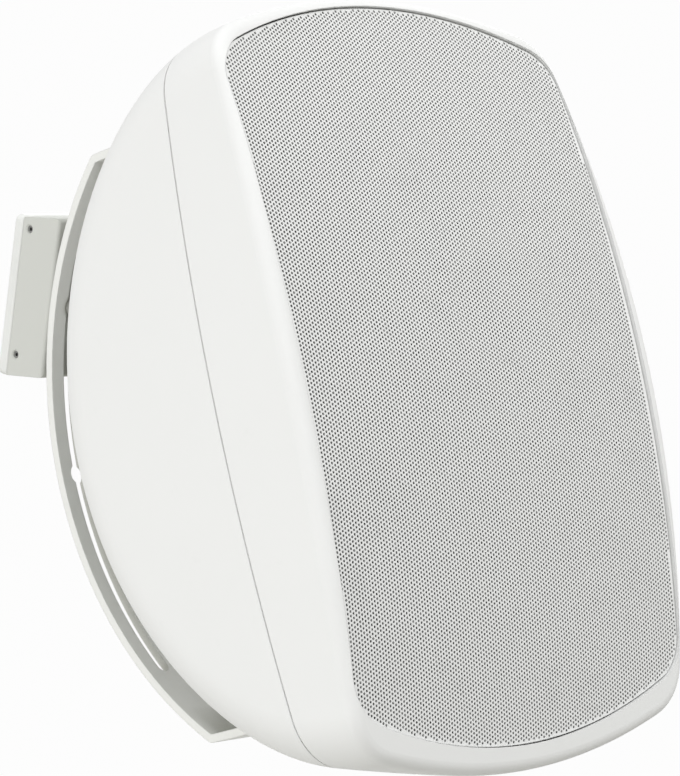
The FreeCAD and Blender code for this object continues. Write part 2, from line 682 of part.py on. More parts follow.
corners = [V(x0, out_y, -foot_z), V(x0, fy, -foot_z), V(x0, fy, -flange_end)]
rail_edges += [Part.makeLine(corners[i], corners[i + 1]) for i in range(2)]
rail = Part.Face(Part.Wire(rail_edges)).extrude(V(2 * rail_half_width, 0, 0))
bends = []
for edge in rail.Edges:
    c = edge.CenterOfMass
    if abs(c.x) < 0.01 and abs(abs(c.z) - foot_z) < 0.01:
        bends.append(edge)
rail = rail.makeFillet(min(rail_corner_radius, 0.4 * (out_y - fy)), bends)
for side in (1, -1):
    cx = side * slot_x
    a = math.radians(slot_end_angle)
    lo = r_in - 4.0
    hi = r_out + 4.0
    half = slot_width / 2.0
    strip = Part.makePolygon([V(cx - half, ry + lo, 0), V(cx + half, ry + lo, 0), V(cx + half, ry + hi, 0),
                              V(cx - half, ry + hi, 0), V(cx - half, ry + lo, 0)])
    strip = Part.Face(strip)
    strip.rotate(V(0, ry, 0), V(1, 0, 0), -slot_end_angle)
    rail = rail.cut(strip.revolve(V(0, ry, 0), V(1, 0, 0), 2.0 * slot_end_angle))
    for end in (a, -a):
        d = V(0, math.cos(end), math.sin(end))
        rail = rail.cut(Part.makeCylinder(half, hi - lo, V(cx, ry, 0) + d * lo, d))
    rail = rail.cut(Part.makeCylinder(keyhole_radius, hi - lo, V(cx, ry + lo, 0), V(0, 1, 0)))
rail = cut_all(rail, [rod_y(x, z, screw_hole, fy - 1, fy + rail_thickness + 1) for x, z in rail_screw_places])
speaker["rail"] = rail
rail_shank = rail_thickness + rail_screw_length - 0.5
speaker["rail_screws"] = group([screw_back(x, z, screw_radius, 3.8, fy + rail_thickness, 2.4, rail_shank)
                                for x, z in rail_screw_places])

# wall bracket, drawn in the wall's frame: the wall is y = 0 and the bracket stands towards -y
hw = bracket_half_width
hh = bracket_height / 2.0
house_front = -bracket_depth
house_back = -plate_thickness


def house_rise(y):
    # the housing's top and bottom climb towards the rail
    return bracket_lean * (house_back - y) / (house_back - house_front)


def leaning_block(x0, x1, y0, y1, wall):
    # block between two depths whose top and bottom follow the housing's at this distance
    corners = [(y0, -1), (y0, 1), (y1, 1), (y1, -1), (y0, -1)]
    points = [V(x0, y, house_rise(y) + sign * (hh - wall)) for y, sign in corners]
    return Part.Face(Part.makePolygon(points)).extrude(V(x1 - x0, 0, 0))


housing = leaning_block(-hw, hw, house_back, house_front, 0.0)
round_edges = [e for e in housing.Edges if abs(e.CenterOfMass.y - house_front) < 0.01]
housing = housing.makeFillet(1.5, round_edges)
hollow = leaning_block(bracket_wall - hw, hw - bracket_wall, 0.0, house_front + bracket_wall, bracket_wall)
housing = housing.cut(hollow)
side_places = [(s, side_screw_rise + t * side_screw_z) for s in (1, -1) for t in (1, -1)]
side_hole = side_screw_radius + screw_clearance
for s, z in side_places:
    a, b = sorted((s * (hw - 8), s * (hw + 1)))
    housing = housing.cut(rod_x(-side_screw_y, z, side_hole, a, b))
    mouth = V(s * (hw - 0.5), -side_screw_y, z)
    housing = housing.cut(Part.makeCone(side_hole, side_hole + 0.6, 0.6, mouth, V(s, 0, 0)))
for s in (1, -1):
    housing = housing.cut(rod_y(s * slot_x, 0, clamp_bolt_radius + screw_clearance, house_front - 1, 0))
bracket["bracket_housing"] = housing

pw = hw + plate_overhang
ph = hh + plate_overhang
wall_plate = box(-pw, pw, -plate_thickness, 0, -ph, ph)
upright = []
for edge in wall_plate.Edges:
    c = edge.CenterOfMass
    if abs(abs(c.x) - pw) < 0.01 and abs(abs(c.z) - ph) < 0.01:
        upright.append(edge)
wall_plate = wall_plate.makeFillet(2.5, upright)
front_edges = [e for e in wall_plate.Edges if abs(e.CenterOfMass.y + plate_thickness) < 0.01]
wall_plate = wall_plate.makeFillet(1.0, front_edges)
tab_out = hw - bracket_wall - 0.1
for s in (1, -1):
    a, b = sorted((s * tab_out, s * (tab_out - tab_thickness)))
    tab = leaning_block(a, b, house_back + 1.5, house_back - tab_depth, bracket_wall + 0.3)
    wall_plate = wall_plate.fuse(tab)
wall_plate = wall_plate.removeSplitter()
for s, z in side_places:
    a, b = sorted((s * (hw - 10), s * hw))
    wall_plate = wall_plate.cut(rod_x(-side_screw_y, z, side_hole, a, b))
for sx in (1, -1):
    for sz in (1, -1):
        hole = rod_y(sx * wall_hole_dx / 2, sz * wall_hole_dz / 2, wall_hole_radius, -10, 1)
        wall_plate = wall_plate.cut(hole)
bracket["wall_plate"] = wall_plate

side_screws = []
for s, z in side_places:
    a, b = sorted((s * (hw - 6.0), s * (hw - side_screw_sink)))
    shank = rod_x(-side_screw_y, z, side_screw_radius, a, b)
    socket = []
    for i in range(7):
        turn = math.radians(60 * i)
        socket.append(V(s * (hw - side_screw_sink - 1.3), 0.75 * math.cos(turn) - side_screw_y,
                        z + 0.75 * math.sin(turn)))
    side_screws.append(shank.cut(Part.Face(Part.makePolygon(socket)).extrude(V(s * 3.0, 0, 0))))
bracket["bracket_side_screws"] = group(side_screws)
head_seat = house_front - 2.0 * rail_slide_gap - rail_thickness
bolts = []
nuts = []
nut_seat = house_front + bracket_wall
for s in (1, -1):
    x = s * slot_x
    bolt = rod_y(x, 0, clamp_bolt_radius, head_seat, nut_seat + 6.0)
    bolts.append(bolt.fuse(rod_y(x, 0, clamp_head_radius, head_seat - clamp_head_height, head_seat)))
    hexagon = []
    for i in range(7):
        turn = math.radians(60 * i)
        hexagon.append(V(x + clamp_nut_radius * math.cos(turn), nut_seat, clamp_nut_radius * math.sin(turn)))
    nut = Part.Face(Part.makePolygon(hexagon)).extrude(V(0, 4.0, 0))
    nuts.append(nut.cut(rod_y(x, 0, clamp_bolt_radius + 0.02, nut_seat - 1, nut_seat + 8)))
bracket["clamp_bolts"] = group(bolts)
bracket["clamp_nuts"] = group(nuts)


def tilted(shape):
    placed = shape.copy()
    placed.rotate(V(0, rail_centre_y, 0), V(1, 0, 0), -tilt_angle)
    placed.translate(V(0, -rail_centre_y - wall_distance, 0))
    return placed


os.makedirs("parts", exist_ok=True)
for node, shape in speaker.items():
    tilted(shape).exportStep("parts/" + node + ".step")
for node, shape in bracket.items():
    shape.exportStep("parts/" + node + ".step")
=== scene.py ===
"""Looks of a two-way wall loudspeaker: grille, soft pieces, fasteners, suspension, finishes and stage."""

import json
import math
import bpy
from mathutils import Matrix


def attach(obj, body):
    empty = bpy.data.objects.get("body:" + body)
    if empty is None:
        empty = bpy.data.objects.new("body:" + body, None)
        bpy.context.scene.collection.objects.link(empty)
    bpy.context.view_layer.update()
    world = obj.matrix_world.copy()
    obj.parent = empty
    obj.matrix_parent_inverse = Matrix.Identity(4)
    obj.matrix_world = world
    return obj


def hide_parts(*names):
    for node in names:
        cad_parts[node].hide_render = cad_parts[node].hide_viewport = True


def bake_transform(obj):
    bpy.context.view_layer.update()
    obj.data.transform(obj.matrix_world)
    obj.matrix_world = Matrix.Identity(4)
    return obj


bl_info = {
    "name": "Wall Loudspeaker Looks",
    "version": (1, 0, 0),
    "blender": (4, 5, 0),
    "location": "View3D > Sidebar > Loudspeaker",
    "description": "Dresses the solids of a wall loudspeaker with its grille, cloth, screws and finishes",
    "category": "Object",
}

import bmesh
import bpy
from bpy.props import FloatProperty, FloatVectorProperty, IntProperty, PointerProperty
from bpy.types import Operator, Panel, PropertyGroup
from mathutils import Matrix, Vector
from mathutils import noise as tuft_noise

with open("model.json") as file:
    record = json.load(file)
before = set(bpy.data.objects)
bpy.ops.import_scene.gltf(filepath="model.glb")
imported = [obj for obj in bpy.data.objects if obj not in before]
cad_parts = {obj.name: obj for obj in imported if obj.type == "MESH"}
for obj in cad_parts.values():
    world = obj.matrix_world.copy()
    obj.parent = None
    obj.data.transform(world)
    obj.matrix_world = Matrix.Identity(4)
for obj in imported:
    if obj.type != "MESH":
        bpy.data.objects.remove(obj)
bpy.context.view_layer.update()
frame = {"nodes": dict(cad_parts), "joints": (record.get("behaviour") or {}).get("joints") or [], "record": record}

MM = 0.001
TILT_JOINT = next(joint for joint in frame["joints"] if joint["name"] == "tilt")

# distances below which points are one, and slivers of the trimmed grille collapse
WELD = 0.001 * MM
SLIVER = 0.04 * MM

# grille and cloth: steps of each arc of the outline, least steel beside a hole, and the cloth's grid
ARC_STEPS = 14
LEAST_WEB = 0.2 * MM
FOLD_RADIUS = 0.2 * MM
CLOTH_COLUMNS = 36
CLOTH_ROWS = 52
CLOTH_SPARE = 1.02

# edges of the wadding that are longer than these are halved, round by round
WADDING_EDGES = (40 * MM, 20 * MM, 10 * MM, 6 * MM)

# fastener heads: sides, then shares of the head's height or radius
HEAD_SIDES = 24
HEAD_ROUNDING = 0.34
SOCKET_SHARE = 0.5
CROSS_SHARE = 0.58
CROSS_HALF_WIDTH = 0.13
RECESS_DEPTH = 0.55
RECESS_TAPER = 0.7

# stage: where the sky is brightest, what the lamps point at, and how much of a shadow the floor shows
TENT_DIRECTION = (-0.88, -0.02, 0.47)
LAMP_TARGET = Vector((0.0, -0.13, 0.0))
FLOOR_HALF_WIDTH = 40.0
SHADOW_SHARE = 0.03
SENSOR_WIDTH = 36.0

# lamps: name, place, width in metres and power in watts
LAMPS = (
    ("key_lamp", (-2.0, 0.0, -0.55), 1.5, 13.5),
    ("front_lamp", (0.5, -1.2, 1.75), 1.4, 18.5),
    ("back_lamp", (1.8, 1.0, 0.5), 1.5, 9.0),
)


class CabinetSizes(PropertyGroup):
    """Sizes of the cabinet and the rail, and where the upright cabinet stands in the bracket's frame."""

    tilt: FloatProperty(
        name="Tilt", description="How far the front is turned up from upright",
        default=math.radians(25.5), subtype="ANGLE")
    pivot_depth: FloatProperty(
        name="Pivot depth", description="Distance of the tilt axis behind the foremost point of the front",
        default=27.3 * MM, unit="LENGTH")
    front_radius: FloatProperty(
        name="Front radius", description="Radius of the convex front, curved from top to bottom",
        default=647 * MM, unit="LENGTH")
    gasket_swell: FloatProperty(
        name="Gasket swell", description="How far the squeezed gasket comes out of its groove",
        default=0.8 * MM, unit="LENGTH")
    rail_half_width: FloatProperty(
        name="Rail half width", description="Half of the rail's width", default=45 * MM, unit="LENGTH")


class GrilleSizes(PropertyGroup):
    """The perforated sheet and the cloth behind it."""

    half_width: FloatProperty(
        name="Half width", description="Half of the grille's width at mid-height",
        default=90.1 * MM, unit="LENGTH")
    half_height: FloatProperty(
        name="Half height", description="Half of the grille's height at its middle",
        default=130.0 * MM, unit="LENGTH")
    side_bow: FloatProperty(
        name="Side bow", description="How far each long side bows out", default=4.4 * MM, unit="LENGTH")
    end_bow: FloatProperty(
        name="End bow", description="How far the top and bottom bow out", default=19.9 * MM, unit="LENGTH")
    corner_radius: FloatProperty(
        name="Corner radius", description="Radius of the four corners", default=16.9 * MM, unit="LENGTH")
    set_back: FloatProperty(
        name="Set-back", description="How far the sheet's face lies behind the rim around it",
        default=1.2 * MM, unit="LENGTH")
    thickness: FloatProperty(
        name="Sheet thickness", description="Thickness of the perforated steel",
        default=0.4 * MM, unit="LENGTH")
    fold: FloatProperty(
        name="Fold", description="Depth of the folded rim", default=4.8 * MM, unit="LENGTH")
    column_pitch: FloatProperty(
        name="Column pitch", description="Distance between columns of holes",
        default=1.374 * MM, unit="LENGTH")
    hole_pitch: FloatProperty(
        name="Hole pitch", description="Distance between holes in one column",
        default=1.481 * MM, unit="LENGTH")
    hole_share: FloatProperty(
        name="Hole share", description="Hole radius as a percentage of the way to the next hole",
        default=37.0, subtype="PERCENTAGE")
    plain_edge: FloatProperty(
        name="Plain edge", description="Width of the unperforated edge", default=0.25 * MM, unit="LENGTH")
    cloth_depth: FloatProperty(
        name="Cloth depth", description="Depth of the cloth's face behind the grille's face",
        default=0.5 * MM, unit="LENGTH")
    cloth_thickness: FloatProperty(
        name="Cloth thickness", description="Thickness of the cloth", default=0.35 * MM, unit="LENGTH")
    cloth_margin: FloatProperty(
        name="Cloth margin", description="Distance of the cloth's edge from the inside of the fold",
        default=0.6 * MM, unit="LENGTH")


class SoftSizes(PropertyGroup):
    """The wadding, and how far from the woofer's axis its suspension is held."""

    tuft_size: FloatProperty(
        name="Tuft size", description="Width of the wadding's tufts", default=14 * MM, unit="LENGTH")
    tuft_depth: FloatProperty(
        name="Tuft depth", description="Depth of the hollows between tufts", default=1.6 * MM, unit="LENGTH")
    wadding_clearance: FloatProperty(
        name="Wadding clearance", description="How far the tufts stay inside the pad's solid",
        default=0.2 * MM, unit="LENGTH")
    surround_sectors: IntProperty(
        name="Surround sectors", description="Pieces that the surround is cut into to bend", default=16)
    surround_cone_radius: FloatProperty(
        name="Surround on cone", description="Radius up to which the surround follows the cone",
        default=48.5 * MM, unit="LENGTH")
    surround_basket_radius: FloatProperty(
        name="Surround on basket", description="Radius from which the surround stays with the basket",
        default=55.1 * MM, unit="LENGTH")
    spider_sectors: IntProperty(
        name="Spider sectors", description="Pieces that the spider is cut into to bend", default=8)
    spider_cone_radius: FloatProperty(
        name="Spider on cone", description="Radius up to which the spider follows the cone",
        default=13.0 * MM, unit="LENGTH")
    spider_basket_radius: FloatProperty(
        name="Spider on basket", description="Radius from which the spider stays with the basket",
        default=39.6 * MM, unit="LENGTH")
    lead_end: FloatProperty(
        name="Lead end", description="Length of a lead's fastened end", default=0.7 * MM, unit="LENGTH")


class FinishColours(PropertyGroup):
    """Colours of the main finishes."""

    moulding: FloatVectorProperty(
        name="Moulding", description="White of the cabinet mouldings",
        default=(0.86, 0.865, 0.86), subtype="COLOR")
    grille: FloatVectorProperty(
        name="Grille", description="White enamel of the grille", default=(0.84, 0.845, 0.84), subtype="COLOR")
    rail: FloatVectorProperty(
        name="Rail", description="White enamel of the rail", default=(0.85, 0.855, 0.83), subtype="COLOR")
    bracket: FloatVectorProperty(
        name="Bracket", description="Warm light grey of the bracket",
        default=(0.635, 0.645, 0.61), subtype="COLOR")
    plate: FloatVectorProperty(
        name="Plate", description="White enamel of the wall plate",
        default=(0.80, 0.81, 0.79), subtype="COLOR")
    cloth: FloatVectorProperty(
        name="Cloth", description="Dark grey of the grille cloth",
        default=(0.05, 0.05, 0.051), subtype="COLOR")


class StageSettings(PropertyGroup):
    """Camera and light of the studio."""

    azimuth: FloatProperty(
        name="Azimuth", description="Where the camera stands round the object", default=math.radians(-49.527),
        subtype="ANGLE")
    elevation: FloatProperty(
        name="Elevation", description="How far the camera stands above the horizon",
        default=math.radians(9.845), subtype="ANGLE")
    roll: FloatProperty(
        name="Roll", description="How far the camera leans", default=math.radians(7.424), subtype="ANGLE")
    distance: FloatProperty(
        name="Distance", description="Distance of the camera from its target", default=1.3085, unit="LENGTH")
    target: FloatVectorProperty(
        name="Target", description="Point that the camera looks at", default=(0.0, -0.13284, -0.01408),
        subtype="TRANSLATION")
    lens: FloatProperty(
        name="Lens", description="Focal length in millimetres", default=172.6)
    shift_x: FloatProperty(
        name="Shift across", description="How far the picture is shifted sideways, as a share of it",
        default=-0.01856)
    shift_y: FloatProperty(
        name="Shift up", description="How far the picture is shifted upwards, as a share of its width",
        default=0.01817)
    floor_drop: FloatProperty(
        name="Floor drop", description="Distance of the floor below the bracket", default=1.2, unit="LENGTH")
    floor_colour: FloatVectorProperty(
        name="Floor", description="Pale colour of the floor", default=(0.47, 0.465, 0.43), subtype="COLOR")


class Flow:
    """A shader socket in a Python expression: arithmetic on flows adds Math nodes."""

    def __init__(self, tree, socket=None):
        self.tree = tree
        self.socket = socket

    def node(self, kind, settings=None, sockets=None, output=0):
        """Adds one node with its settings, then the values or links of its sockets."""
        made = self.tree.nodes.new(kind)
        for name, value in (settings or {}).items():
            setattr(made, name, value)
        for key, value in (sockets or {}).items():
            if isinstance(value, Flow):
                self.tree.links.new(value.socket, made.inputs[key])
            else:
                made.inputs[key].default_value = value
        return Flow(self.tree, made.outputs[output] if made.outputs else None)

    def math(self, operation, *values):
        return self.node("ShaderNodeMath", {"operation": operation}, dict(enumerate(values)))

    def __add__(self, other):
        return self.math("ADD", self, other)

    def __radd__(self, other):
        return self.math("ADD", other, self)

    def __sub__(self, other):
        return self.math("SUBTRACT", self, other)

    def __rsub__(self, other):
        return self.math("SUBTRACT", other, self)

    def __mul__(self, other):
        return self.math("MULTIPLY", self, other)

    def __rmul__(self, other):
        return self.math("MULTIPLY", other, self)

    def __truediv__(self, other):
        return self.math("DIVIDE", self, other)

    def __rtruediv__(self, other):
        return self.math("DIVIDE", other, self)

    def __pow__(self, other):
        return self.math("POWER", self, other)


def rgba(colour, gain=1.0):
    return (colour[0] * gain, colour[1] * gain, colour[2] * gain, 1.0)


def object_point(flow):
    return flow.node("ShaderNodeTexCoord", output="Object")


def noise(flow, point, size, detail=3.0, rough=0.55):
    """Cloudy value from 0 to 1 whose patches are about this size in metres."""
    sockets = {"Vector": point, "Scale": 1.0 / size, "Detail": detail, "Roughness": rough}
    return flow.node("ShaderNodeTexNoise", {}, sockets, "Fac")


def band(flow, value, low, high):
    """Smooth step from 0 at low to 1 at high."""
    sockets = {"Value": value, "From Min": low, "From Max": high}
    return flow.node("ShaderNodeMapRange", {"interpolation_type": "SMOOTHSTEP"}, sockets)


def blend_colours(flow, factor, first, second):
    return flow.node("ShaderNodeMix", {"data_type": "RGBA"}, {0: factor, 6: first, 7: second}, 2)


def bump(flow, height, depth, strength=1.0, edge=0.0):
    """Normal of a relief of this depth, over edges that look rounded by the edge radius."""
    sockets = {"Height": height, "Distance": depth, "Strength": strength}
    if edge:
        sockets["Normal"] = flow.node("ShaderNodeBevel", {"samples": 4}, {"Radius": edge})
    return flow.node("ShaderNodeBump", {}, sockets)


def new_finish(name):
    material = bpy.data.materials.new(name)
    material.use_nodes = True
    material.node_tree.nodes.clear()
    return material, Flow(material.node_tree)


def shade(flow, sockets):
    shader = flow.node("ShaderNodeBsdfPrincipled", {}, sockets)
    flow.node("ShaderNodeOutputMaterial", {}, {"Surface": shader})


def moulded_plastic(name, colour, roughness=0.5, grain=0.35 * MM, edge=0.0):
    """Satin moulding: fine spark-eroded grain, cloudy gloss, and faint handling marks."""
    material, flow = new_finish(name)
    point = object_point(flow)
    cloud = noise(flow, point, 35 * MM, 4.0)
    fine = noise(flow, point, grain, 2.0)
    marks = band(flow, noise(flow, point, 9 * MM, 6.0, 0.7), 0.62, 0.72)
    tint = blend_colours(flow, cloud * 0.5 + marks * 0.35, rgba(colour), rgba(colour, 0.965))
    shade(flow, {
        "Base Color": tint,
        "Roughness": roughness + 0.10 * cloud + 0.05 * fine + 0.06 * marks,
        "Normal": bump(flow, fine, 0.012 * MM, 0.5, edge),
        "Specular IOR Level": 0.3,
    })
    return material


def enamel(name, colour, roughness=0.38, edge=0.0, hollow=0.0, half_width=1.0, gloss=1.0):
    """Powder coat: orange peel, pits and dust. A hollow depth adds painted shade: ambient occlusion within that
    depth darkens the colour, less so towards the outer edges.
    """
    material, flow = new_finish(name)
    point = object_point(flow)
    peel = noise(flow, point, 1.1 * MM, 2.0)
    pits = band(flow, noise(flow, point, 0.45 * MM, 1.0), 0.30, 0.42)
    dust = noise(flow, point, 18 * MM, 5.0, 0.65)
    tint = blend_colours(flow, band(flow, dust, 0.48, 0.75) * 0.6, rgba(colour), rgba(colour, 0.94))
    # painted shade: the base colour darkens where ambient occlusion finds the rail's hollows next to the cabinet,
    # fading out over the last 6 mm of the outer edges
    if hollow:
        open_air = flow.node("ShaderNodeAmbientOcclusion", {"samples": 16}, {"Distance": hollow}, "AO")
        across = flow.math("ABSOLUTE", flow.node("ShaderNodeSeparateXYZ", {}, {"Vector": point}, "X"))
        shade_free_edge = band(flow, across, half_width - 6 * MM, half_width)
        painted_shade = band(flow, 1.0 - open_air, 0.05, 0.55) * (0.85 + 0.15 * dust) * (1.0 - 0.85 * shade_free_edge)
        tint = blend_colours(flow, painted_shade, tint, (colour[0] * 0.42, colour[1] * 0.42, colour[2] * 0.37, 1.0))
    shade(flow, {
        "Base Color": tint,
        "Roughness": roughness + 0.12 * dust + 0.05 * peel,
        "Normal": bump(flow, peel * 0.8 + pits * 0.2, 0.01 * MM, 0.4, edge),
        "Specular IOR Level": 0.5 * gloss,
        "Coat Weight": 0.15 * gloss,
        "Coat Roughness": 0.25,
    })
    return material


def plated_steel(name, colour, roughness=0.3, lines=0.25 * MM, edge=0.0):
    """Zinc plate: drawn lines, cloudy grey bloom and a few dull spots."""
    material, flow = new_finish(name)
    point = object_point(flow)
    stretch = flow.node("ShaderNodeMapping", {}, {"Vector": point, "Scale": (1.0, 1.0, 9.0)})
    drawn = noise(flow, stretch, lines * 3.0, 3.0)
    bloom = noise(flow, point, 4 * MM, 4.0)
    spots = band(flow, noise(flow, point, 1.2 * MM, 2.0), 0.66, 0.74)
    tint = blend_colours(flow, bloom * 0.6 + spots * 0.4, rgba(colour), rgba(colour, 0.78))
    shade(flow, {
        "Base Color": tint,
        "Metallic": 1.0,
        "Roughness": roughness + 0.16 * drawn + 0.2 * spots,
        "Normal": bump(flow, drawn, 0.01 * MM, 0.5, edge),
    })
    return material


def ferrite(name, colour):
    """Ground ferrite: dark, grainy, with chipped pale specks."""
    material, flow = new_finish(name)
    point = object_point(flow)
    grain = noise(flow, point, 0.8 * MM, 4.0, 0.7)
    specks = band(flow, noise(flow, point, 0.5 * MM, 1.0), 0.70, 0.76)
    tint = blend_colours(flow, specks, rgba(colour), rgba(colour, 2.2))
    shade(flow, {
        "Base Color": tint,
        "Roughness": 0.5 + 0.25 * grain,
        "Normal": bump(flow, grain, 0.04 * MM, 0.7),
    })
    return material


def rubber(name, colour):
    """Matt rubber with a fine pore structure and a chalky bloom."""
    material, flow = new_finish(name)
    point = object_point(flow)
    pores = noise(flow, point, 0.5 * MM, 3.0)
    chalk = band(flow, noise(flow, point, 7 * MM, 4.0), 0.45, 0.8)
    tint = blend_colours(flow, chalk * 0.5, rgba(colour), rgba(colour, 1.35))
    shade(flow, {
        "Base Color": tint,
        "Roughness": 0.72 + 0.15 * pores,
        "Normal": bump(flow, pores, 0.03 * MM, 0.6),
    })
    return material


def woven(name, colour, thread=0.42 * MM, tilt=0.0):
    """Plain weave of round threads, one over and one under, in the plane of the tilted front. Low parts of the
    weave are painted darker and raised threads lighter, as painted shade, mixed with the fibre's own tone.
    """
    material, flow = new_finish(name)
    point = object_point(flow)
    flat = flow.node("ShaderNodeMapping", {}, {"Vector": point, "Rotation": (tilt, 0.0, 0.0)})
    across = flow.node("ShaderNodeSeparateXYZ", {}, {"Vector": flat}, "X")
    upward = flow.node("ShaderNodeSeparateXYZ", {}, {"Vector": flat}, "Z")
    step = math.pi / thread
    warp = flow.math("SINE", across * step)
    weft = flow.math("SINE", upward * step)
    over = band(flow, warp * weft, -0.25, 0.25)
    height = flow.math("ABSOLUTE", warp) * over + flow.math("ABSOLUTE", weft) * (1.0 - over)
    fibre = noise(flow, point, thread * 0.35, 2.0)
    # painted shade: the colour follows the weave's height, darker between threads and lighter on top; the fibre
    # noise is real tone
    tint = blend_colours(flow, height * 0.7 + fibre * 0.3, rgba(colour, 0.55), rgba(colour, 1.25))
    shade(flow, {
        "Base Color": tint,
        "Roughness": 0.85 + 0.1 * fibre,
        "Normal": bump(flow, height + 0.3 * fibre, 0.08 * MM, 0.8),
    })
    return material


def pressed_paper(name, colour):
    """Coated paper or doped cloth: felted fibres under a thin uneven coat."""
    material, flow = new_finish(name)
    point = object_point(flow)
    felt = noise(flow, point, 1.6 * MM, 6.0, 0.75)
    coat = noise(flow, point, 12 * MM, 3.0)
    tint = blend_colours(flow, felt, rgba(colour, 0.8), rgba(colour, 1.3))
    shade(flow, {
        "Base Color": tint,
        "Roughness": 0.55 + 0.25 * coat,
        "Normal": bump(flow, felt, 0.08 * MM, 0.6),
    })
    return material


def wound_copper(name, colour, wire=0.5 * MM):
    """Enamelled wire laid turn by turn along the winding's axis, with painted shade in the grooves between turns
    and a cloudy varnish tone.
    """
    material, flow = new_finish(name)
    point = object_point(flow)
    along = flow.node("ShaderNodeSeparateXYZ", {}, {"Vector": point}, "Y")
    turns = flow.math("ABSOLUTE", flow.math("SINE", along * (math.pi / wire)))
    varnish = noise(flow, point, 5 * MM, 3.0)
    # painted shade: the grooves between turns are darker; the varnish noise is real tone
    tint = blend_colours(flow, turns * 0.7 + varnish * 0.3, rgba(colour, 0.5), rgba(colour))
    shade(flow, {
        "Base Color": tint,
        "Metallic": 0.85,
        "Roughness": 0.28 + 0.2 * varnish,
        "Normal": bump(flow, turns, 0.1 * MM, 0.8),
    })
    return material


def lacquered_board(name, colour):
    """Laminate under green lacquer, with conductor tracks that show as paler raised runs."""
    material, flow = new_finish(name)
    point = object_point(flow)
    cells = flow.node("ShaderNodeTexVoronoi", {"feature": "DISTANCE_TO_EDGE", "distance": "MANHATTAN"},
                      {"Vector": point, "Scale": 90.0}, "Distance")
    tracks = band(flow, cells, 0.05, 0.09)
    weave = noise(flow, point, 0.6 * MM, 2.0)
    tint = blend_colours(flow, tracks, rgba(colour, 1.8), rgba(colour))
    shade(flow, {
        "Base Color": tint,
        "Roughness": 0.22 + 0.15 * weave,
        "Normal": bump(flow, tracks * 0.8 + weave * 0.2, 0.03 * MM, 0.5),
        "Coat Weight": 0.4,
    })
    return material


def loose_fibre(name, colour):
    """Wadding: long crossing fibres with open hollows between them, which are painted darker as painted shade."""
    material, flow = new_finish(name)
    point = object_point(flow)
    combed = flow.node("ShaderNodeMapping", {}, {"Vector": point, "Scale": (1.0, 4.0, 4.0)})
    crossed = flow.node("ShaderNodeMapping", {}, {"Vector": point, "Scale": (4.0, 4.0, 1.0)})
    fibres = flow.math("MAXIMUM", *(noise(flow, lay, 4 * MM, 5.0, 0.7) for lay in (combed, crossed)))
    # painted shade: the colour is darker where the fibre relief is low
    tint = blend_colours(flow, band(flow, fibres, 0.4, 0.7), rgba(colour, 0.6), rgba(colour))
    shade(flow, {
        "Base Color": tint,
        "Roughness": 0.95,
        "Normal": bump(flow, fibres, 0.8 * MM, 0.8),
        "Sheen Weight": 0.3,
    })
    return material


def cabinet_place(sizes):
    """From the upright cabinet, with its foremost point at y = 0, to the bracket's frame."""
    pivot = Matrix.Translation(Vector(TILT_JOINT["pos_m"]))
    return pivot @ Matrix.Rotation(-sizes.tilt, 4, "X") @ Matrix.Translation((0.0, -sizes.pivot_depth, 0.0))


def circle_between(bow, half_chord):
    return (half_chord ** 2 + bow ** 2) / (2.0 * bow)


def rounded_outline(grille, inset):
    """Points of the grille's outline as pairs (x, z), drawn in by the inset, anticlockwise from the right."""
    side_r = circle_between(grille.side_bow, grille.half_height)
    end_r = circle_between(grille.end_bow, grille.half_width)
    side_x = grille.half_width - side_r
    end_z = grille.half_height - end_r
    corner = grille.corner_radius
    away = Vector((-side_x, end_z))
    reach_side = side_r - corner
    reach_end = end_r - corner
    along = (away.length_squared + reach_side ** 2 - reach_end ** 2) / (2.0 * away.length)
    across = math.sqrt(reach_side ** 2 - along ** 2)
    unit = away.normalized()
    foot = Vector((side_x, 0.0)) + unit * along
    aside = Vector((-unit.y, unit.x)) * across
    centre = max((foot + aside, foot - aside), key=min)
    side_end = math.atan2(centre.y, centre.x - side_x)
    end_start = math.atan2(centre.y - end_z, centre.x)
    arcs = (
        (side_x, 0.0, side_r - inset, 0.0, side_end),
        (centre.x, centre.y, corner - inset, side_end, end_start),
        (0.0, end_z, end_r - inset, end_start, math.pi / 2),
    )
    quarter = []
    for x, z, radius, first, last in arcs:
        for step in range(ARC_STEPS):
            turn = first + (last - first) * step / ARC_STEPS
            quarter.append((x + radius * math.cos(turn), z + radius * math.sin(turn)))
    top = (0.0, grille.half_height - inset)
    left = [(-x, z) for x, z in reversed(quarter[1:])]
    upper = quarter + [top] + left + [(-quarter[0][0], 0.0)]
    lower = [(x, -z) for x, z in reversed(upper[1:-1])]
    return upper + lower


def trim_to_outline(mesh, points):
    """Cuts a flat mesh in the x-z plane along a convex outline."""
    for start, end in zip(points, points[1:] + points[:1]):
        edge = Vector((end[0] - start[0], 0.0, end[1] - start[1]))
        outward = Vector((edge.z, 0.0, -edge.x))
        everything = mesh.verts[:] + mesh.edges[:] + mesh.faces[:]
        bmesh.ops.bisect_plane(mesh, geom=everything, dist=1e-7, plane_co=(start[0], 0.0, start[1]),
                               plane_no=outward, clear_outer=True)


def inside_outline(points, x, z):
    for start, end in zip(points, points[1:] + points[:1]):
        if (end[0] - start[0]) * (z - start[1]) - (end[1] - start[1]) * (x - start[0]) < 0.0:
            return False
    return True


def onto_front(mesh, radius, depth):
    """Bends a flat mesh in the x-z plane onto the convex front, this far behind its face."""
    for vert in mesh.verts:
        vert.co.y = radius - math.sqrt((radius - depth) ** 2 - vert.co.z ** 2)


def flat_grid(columns, rows, column_pitch, row_pitch):
    mesh = bmesh.new()
    bmesh.ops.create_grid(mesh, x_segments=columns, y_segments=rows, size=0.5,
                          matrix=Matrix.Rotation(math.radians(90), 4, "X"))
    bmesh.ops.scale(mesh, vec=(columns * column_pitch, 1.0, rows * row_pitch), verts=mesh.verts)
    return mesh


